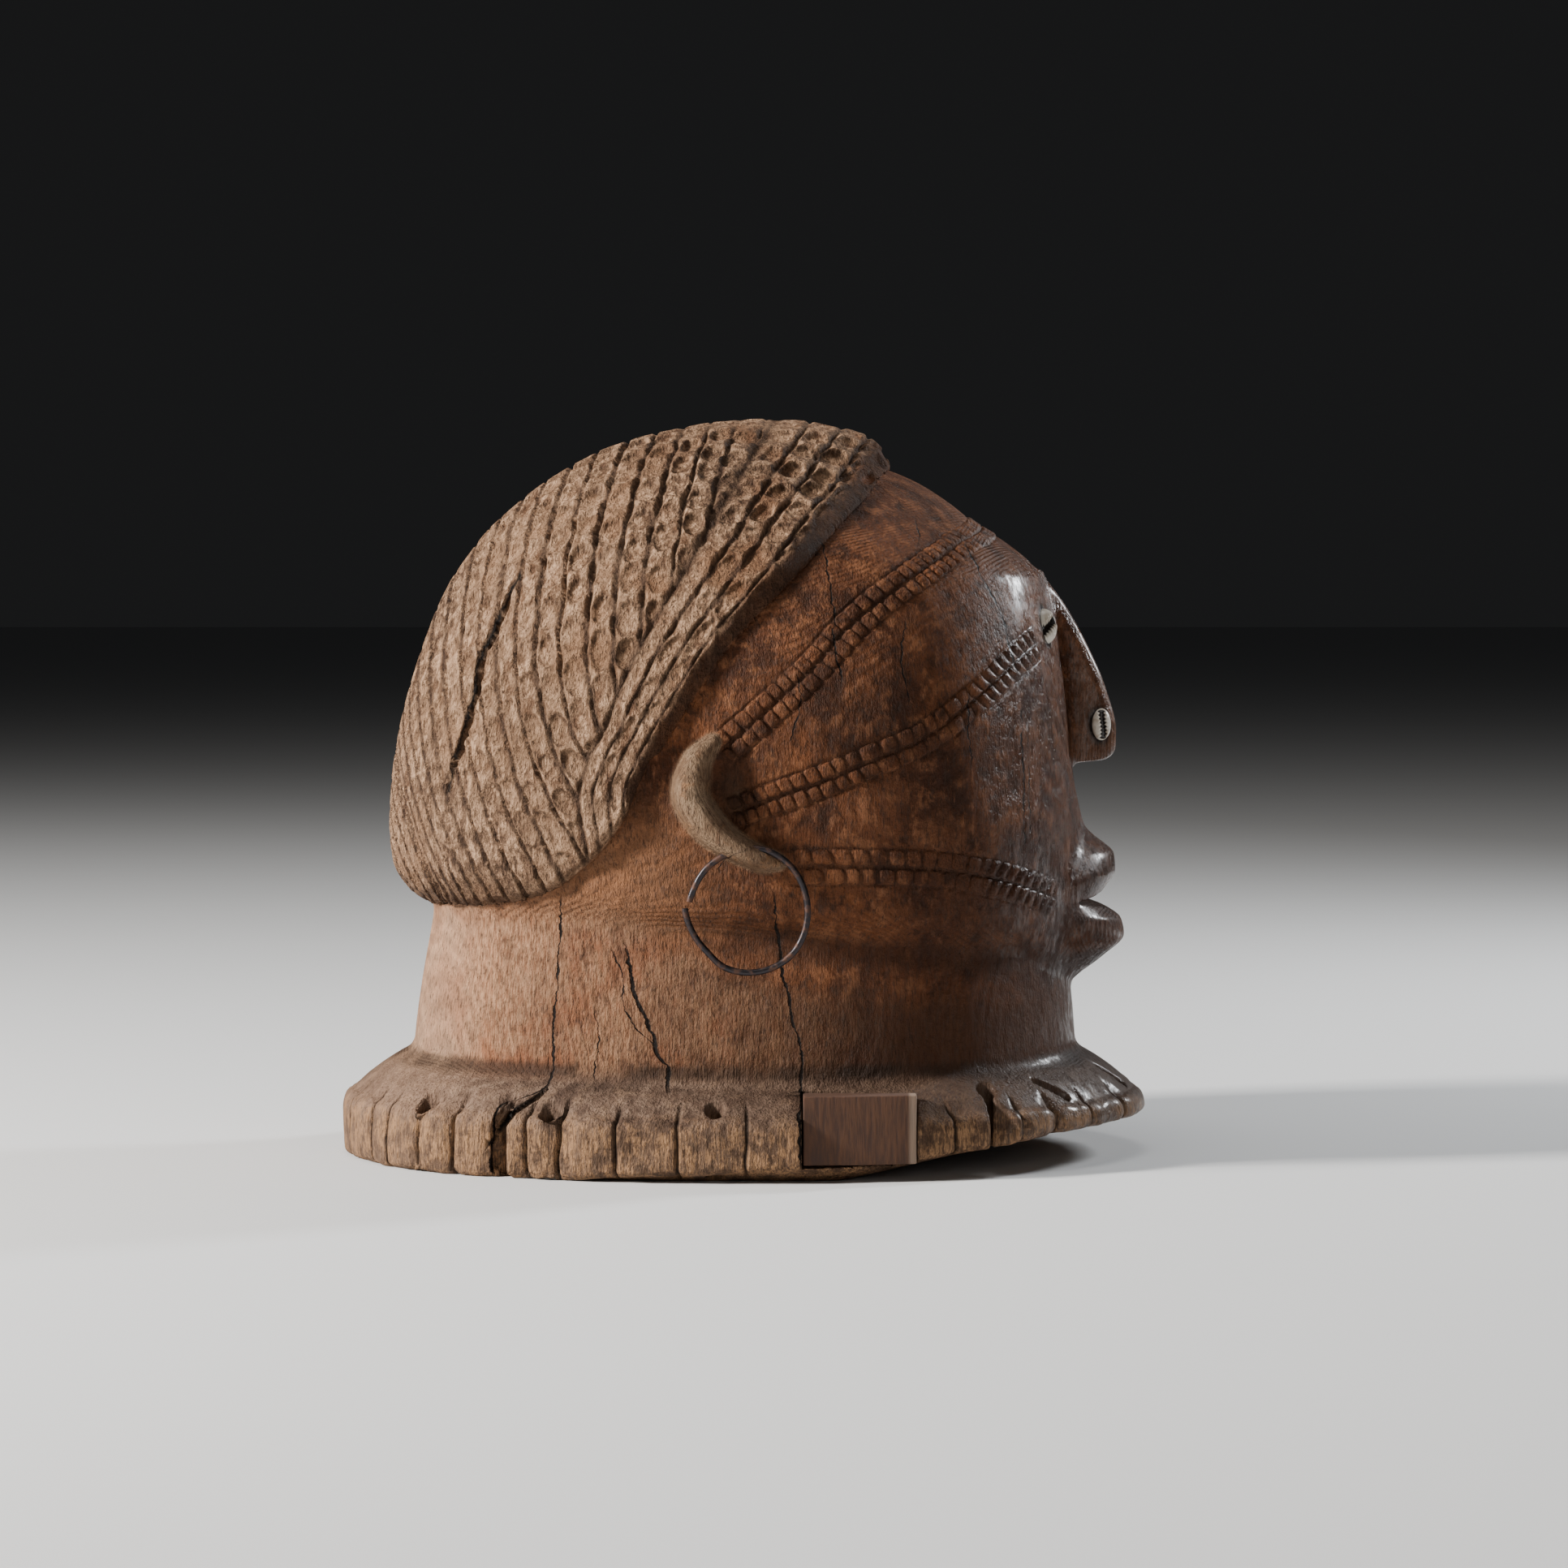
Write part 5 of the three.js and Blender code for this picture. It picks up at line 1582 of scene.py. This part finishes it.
def old_wood():
    """The carved block: sand brown worn hair, a dark rubbed face, a reddish neck and a worn collar."""
    material, t = new_material("old_wood")
    place, x, _, z = t.position()
    grain = t.use(GRAIN, {"Position": place, "Ring Pitch": 0.0013, "Wander": 0.009, "Fibre Size": 1100.0})
    fibre = grain["Fibre"]
    names = ("hair", "groove", "crack", "ear", "resin", "inside", "ear_hollow", "border")
    hair, groove, wide_crack, ear, resin, inside, ear_hollow_shade, border = map(t.attribute, names)
    large = t.noise(place, 9.0, 3.0, 0.55)
    medium = t.noise(place, 34.0, 4.0, 0.6)
    mottle = t.noise(place, 110.0, 4.0, 0.68)
    pitted = t.noise(place, 520.0, 3.0, 0.6)
    small = t.noise(t.stretched(place, 1, 1, 0.4), 260.0, 5.0, 0.7)
    tiny = t.noise(t.stretched(place, 1, 1, 0.3), 900.0, 3.0, 0.65)

    # Face: dark red-brown with rubbed ochre patches, paler at the nape, and painted light down the side of
    # the nose
    stain = t.times(t.between(large, 0.56, 0.36), t.between(small, 0.7, 0.3, 0.9, 0.3))
    chin = t.times(t.between(z, 0.15, 0.118), t.between(x, 0.02, 0.1))
    nape = t.times(t.between(x, 0.01, -0.06), t.between(z, 0.17, 0.13))
    # Painted light on the side of the nose
    slab = t.times(t.between(z, 0.166, 0.172), t.between(x, 0.142, 0.15))
    face = t.layers(
        t.mix(t.between(medium, 0.36, 0.64), (0.056, 0.0185, 0.0075), (0.15, 0.052, 0.0195)),
        (large, 0.5, 0.68, 0.5, (0.235, 0.083, 0.03)),
        (mottle, 0.5, 0.66, 0.62, (0.29, 0.118, 0.052)),
        (mottle, 0.48, 0.34, 0.68, (0.02, 0.0085, 0.0045)),
        (small, 0.54, 0.68, 0.6, (0.26, 0.115, 0.06)),
        (t.times(stain, 0.65), (0.017, 0.0075, 0.0042)),
        (t.times(chin, 0.55), (0.016, 0.0045, 0.0018)),
        (t.times(nape, 0.6), (0.3, 0.14, 0.068)),
        (t.times(slab, 0.6), (0.17, 0.08, 0.045)),
    )

    # Neck: reddish tan with upright fibres; painted light paler at the back, painted shade darker to the
    # front
    neck = t.layers(
        t.mix(t.between(fibre, 0.34, 0.66), (0.24, 0.11, 0.057), (0.44, 0.245, 0.138)),
        (medium, 0.48, 0.68, 0.65, (0.32, 0.11, 0.047)),
        (large, 0.5, 0.3, 0.8, (0.1, 0.05, 0.029)),
        (mottle, 0.48, 0.34, 0.55, (0.07, 0.031, 0.017)),
        # Painted light: paler at the back, towards the key
        (x, -0.105, -0.135, 0.5, (0.53, 0.34, 0.22)),
        # Painted shade: darker to the front, away from the key
        (x, -0.14, 0.08, 0.93, (0.036, 0.0115, 0.004)),
    )

    # Hair: sand brown, paler on the back, dark along the face
    # Paler towards the back
    paler_to_back = t.times(t.between(x, 0.02, -0.1), t.between(medium, 0.38, 0.62))
    foot_of_hair = t.times(t.between(z, 0.135, 0.108), t.between(mottle, 0.36, 0.56, 0.9, 0.3))
    sooty = t.times(t.between(large, 0.5, 0.36), t.between(small, 0.62, 0.38))
    tan = t.layers(
        t.mix(t.between(small, 0.34, 0.66), (0.125, 0.06, 0.03), (0.54, 0.335, 0.205)),
        (medium, 0.48, 0.68, 0.6, (0.24, 0.1, 0.042)),
        (t.times(paler_to_back, 0.4), (0.42, 0.265, 0.16)),
        (pitted, 0.55, 0.67, 0.4, (0.06, 0.03, 0.017)),
        (foot_of_hair, (0.08, 0.04, 0.021)),
        (t.times(sooty, 0.6), (0.055, 0.032, 0.021)),
        (t.times(border, 0.9), t.mix(0.55, face, (0.028, 0.012, 0.007))),
    )

    # Collar: dark brown, with raw orange wood where its edge is broken; painted light paler at the back,
    # painted shade darker to the front
    raw = t.times(t.between(z, 0.03, 0.02), t.between(fibre, 0.42, 0.56, 1.0, 0.2),
                  t.between(mottle, 0.4, 0.56, 1.0, 0.15))
    collar = t.layers(
        t.mix(t.between(small, 0.35, 0.68), (0.1, 0.06, 0.041), (0.21, 0.14, 0.1)),
        (medium, 0.52, 0.38, 0.7, (0.055, 0.032, 0.022)),
        (mottle, 0.5, 0.66, 0.45, (0.26, 0.165, 0.105)),
        (mottle, 0.46, 0.34, 0.6, (0.045, 0.027, 0.019)),
    )
    collar = t.layers(
        collar,
        # Painted light: paler at the back, towards the key
        (x, -0.08, -0.15, 1.0, t.mix(0.3, collar, (0.36, 0.22, 0.145))),
        # Painted shade: darker to the front, away from the key
        (x, -0.08, 0.1, 0.62, (0.055, 0.028, 0.016)),
        (z, 0.026, 0.018, 0.5, (0.05, 0.029, 0.018)),
        (t.times(raw, 0.8), (0.36, 0.2, 0.1)),
    )

    # Ears, and the wood inside
    bone = t.layers(
        t.mix(t.between(medium, 0.35, 0.65), (0.15, 0.088, 0.05), (0.27, 0.18, 0.112)),
        (small, 0.48, 0.68, 0.7, (0.085, 0.043, 0.024)),
        (mottle, 0.54, 0.68, 0.6, (0.3, 0.15, 0.07)),
    )
    dusk = t.mix(t.between(medium, 0.35, 0.65), (0.11, 0.06, 0.035), (0.17, 0.1, 0.06))

    # Where each of them lies, and what darkens all of them
    on_collar = t.between(z, 0.047, 0.038)
    seam = t.plus(z, t.times(t.math("SUBTRACT", medium, 0.5), 0.03), t.between(x, -0.06, 0.03, 0.036))
    # Painted shade in the crease under the jaw
    under_jaw = t.plus(z, t.times(x, 0.1))
    jaw_crease_shade = t.times(t.between(under_jaw, 0.088, 0.097), t.between(under_jaw, 0.109, 0.101),
                     t.between(x, -0.05, 0.02, 0.62))
    plain = t.most(hair, on_collar)
    # Painted shade in the grooves, dimples and gaps between squares, with dirt in soft blotches
    shade_and_grime = t.use(LOW_SHADE_AND_GRIME, {"Position": place, "Low Places": groove, "Amount": 0.4, "Blotch Size": 17.0})
    foot = t.times(t.between(z, 0.049, 0.045), t.between(z, 0.039, 0.043))
    crack = t.most(wide_crack, fine_cracks(t, place, z))
    colour = t.layers(
        t.mix(t.between(seam, 0.12, 0.1), face, neck),
        (jaw_crease_shade, (0.03, 0.0105, 0.0045)),
        (on_collar, collar),
        (hair, tan),
        (ear, bone),
        (fibre, 0.54, 0.72, 0.34, (0.036, 0.017, 0.01)),
        (tiny, 0.53, 0.65, 0.62, (0.045, 0.024, 0.015)),
        (t.times(grain["Rings"], t.between(plain, 0.0, 1.0, 0.03, 0.2)), (0.03, 0.014, 0.008)),
        (t.times(shade_and_grime["Mask"], 0.8), (0.024, 0.0125, 0.008)),
        # Painted shade in the hair's grooves and dimples
        (t.times(groove, hair, 0.4), (0.04, 0.02, 0.012)),
        # Painted shade in the hollow inside the ear's loop
        (t.times(ear_hollow_shade, 0.85), (0.016, 0.009, 0.006)),
        (t.times(foot, t.between(medium, 0.3, 0.6, 0.75, 0.2)), (0.02, 0.012, 0.008)),
        (t.times(grain["Pores"], t.between(medium, 0.4, 0.62, 0.6, 0.1)), (0.024, 0.012, 0.007)),
        (crack, (0.006, 0.0035, 0.0025)),
        (resin, (0.012, 0.007, 0.005)),
        (inside, dusk),
    )

    # Polish: the face is rubbed, most of all where it stands out in front
    outside = t.math("SUBTRACT", 1.0, inside)
    rubbed = t.times(t.between(x, 0.085, 0.122), t.between(on_collar, 0.0, 1.0, 0.7, 1.0), outside,
                     t.most(t.between(z, 0.095, 0.125), on_collar))
    dry = t.most(hair, t.math("SUBTRACT", on_collar, rubbed), crack)
    rough = t.math("SUBTRACT", t.between(small, 0.3, 0.7, 0.84, 0.6), t.times(rubbed, 0.44))
    polish = t.times(t.between(x, 0.096, 0.12), t.between(small, 0.42, 0.6, 0.7, 0.12),
                     t.between(tiny, 0.42, 0.58, 1.0, 0.45), outside)

    # Relief too fine for the mesh
    height = t.plus(
        t.times(fibre, t.between(x, 0.09, 0.02, 0.6, 0.35)),
        t.times(grain["Rings"], t.between(medium, 0.42, 0.6, 0.42, 0.05),
                t.between(plain, 0.0, 1.0, 0.1, 1.0)),
        t.times(mottle, t.between(hair, 0.0, 1.0, 1.0, 2.4)),
        t.times(small, t.between(hair, 0.0, 1.0, 4.5, 1.5)),
        t.times(pitted, t.times(hair, -2.6)),
        t.times(tiny, t.between(hair, 0.0, 1.0, 1.6, 1.0)),
        t.times(grain["Pores"], -0.5),
        t.times(crack, -1.5),
    )
    t.finish({
        "Base Color": colour,
        "Roughness": t.math("ADD", rough, t.times(dry, 0.05), True),
        "Specular IOR Level": 0.15,
        "Coat Weight": polish,
        "Coat Roughness": 0.24,
        "Normal": t.bump(height, 0.95, 0.0009),
    })
    return material


def repair_wood():
    """Plain sawn wood with an upright grain."""
    material, t = new_material("repair_wood")
    place, x = t.position()[:2]
    grain = t.use(GRAIN, {"Position": place, "Ring Pitch": 0.002, "Wander": 0.003, "Fibre Size": 700.0})
    fibre = grain["Fibre"]
    shade_and_grime = t.use(LOW_SHADE_AND_GRIME, {"Position": place, "Low Places": 0.0, "Amount": 0.5, "Blotch Size": 60.0})
    colour = t.layers(
        t.mix(t.between(fibre, 0.35, 0.65), (0.045, 0.0165, 0.0075), (0.09, 0.039, 0.019)),
        (t.times(shade_and_grime["Mask"], 0.5), (0.03, 0.014, 0.009)),
        (x, 0.0685, 0.0705, 0.55, (0.33, 0.24, 0.175)),
    )
    t.finish({
        "Base Color": colour,
        "Roughness": t.between(fibre, 0.3, 0.7, 0.88, 0.7),
        "Normal": t.bump(fibre, 0.5, 0.0004),
    })
    return material


def iron_wire():
    """Dark forged iron with spots of rust."""
    material, t = new_material("iron_wire")
    spots = t.noise(t.position()[0], 260.0, 4.0, 0.65)
    t.finish({
        "Base Color": t.mix(t.between(spots, 0.45, 0.68), (0.035, 0.031, 0.034), (0.115, 0.06, 0.042)),
        "Metallic": 0.85,
        "Roughness": t.between(spots, 0.4, 0.7, 0.75, 0.36),
        "Normal": t.bump(spots, 0.5, 0.0003),
    })
    return material


def shell_white():
    """Off-white shell with a dark toothed slit."""
    material, t = new_material("shell")
    cloud = t.noise(t.position()[0], 240.0, 3.0, 0.55)
    colour = t.layers(
        t.mix(t.between(cloud, 0.4, 0.66), (0.62, 0.57, 0.49), (0.4, 0.33, 0.25)),
        (t.attribute("slit"), 0.1, 0.55, 1.0, (0.012, 0.008, 0.006)),
    )
    t.finish({
        "Base Color": colour,
        "Roughness": t.between(cloud, 0.3, 0.7, 0.42, 0.28),
        "Coat Weight": 0.35,
        "Coat Roughness": 0.2,
        "Normal": t.bump(cloud, 0.15, 0.0002),
    })
    return material


# Camera, floor and lights
def add_aimed(name, data, place, target):
    """A camera or a light at a place, turned to a target."""
    obj = add_object(name, data)
    obj.location = place
    obj.rotation_euler = (Vector(target) - Vector(place)).to_track_quat("-Z", "Y").to_euler()
    return obj


def add_camera():
    data = bpy.data.cameras.new("camera")
    data.sensor_width = 36.0
    data.lens = LENS
    bpy.context.scene.camera = add_aimed("camera", data, CAMERA_PLACE, CAMERA_TARGET)


def add_floor():
    corners = [(-FLOOR_HALF, -FLOOR_HALF, 0), (FLOOR_HALF, -FLOOR_HALF, 0), (FLOOR_HALF, FLOOR_HALF, 0),
               (-FLOOR_HALF, FLOOR_HALF, 0)]
    mesh = bpy.data.meshes.new("floor")
    mesh.from_pydata(corners, [], [(0, 1, 2, 3)])
    material, t = new_material("floor")
    t.finish({"Base Color": (0.7, 0.705, 0.71, 1.0), "Roughness": 0.85})
    mesh.materials.append(material)
    floor = add_object("floor", mesh)


def add_lights():
    world = bpy.data.worlds.new("studio")
    bpy.context.scene.world = world
    world.use_nodes = True
    background = world.node_tree.nodes["Background"]
    background.inputs["Color"].default_value = (0.62, 0.63, 0.65, 1.0)
    background.inputs["Strength"].default_value = 0.02
    for name, (place, size, energy, colour) in LIGHTS.items():
        data = bpy.data.lights.new(name, "AREA")
        data.shape = "RECTANGLE"
        data.size, data.size_y = size
        data.energy = energy
        data.color = colour
        add_aimed(name, data, place, LIGHT_TARGET)


def finish_piece(obj, node, material):
    obj.data.materials.clear()
    obj.data.materials.append(material)
    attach(obj, "root")
    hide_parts(node)


add_camera()
add_floor()
add_lights()
wood = old_wood()
finish_piece(carve_block(), "helmet", wood)
finish_piece(carve_hair(), "helmet", wood)
finish_piece(inset_block("fitted_inset"), "collar_inset", repair_wood())
wire = iron_wire()
sweep = swept_wire_tree()
for side, word in ((-1, "right"), (1, "left")):
    finish_piece(wire_ring(word + "_hoop", side, sweep, wire), word + "_ear_ring", wire)
shell = shell_white()
for node, centre, facing, size, slit_turn in SHELLS:
    finish_piece(cowrie("cowrie_" + node, centre, facing, size, slit_turn), node, shell)
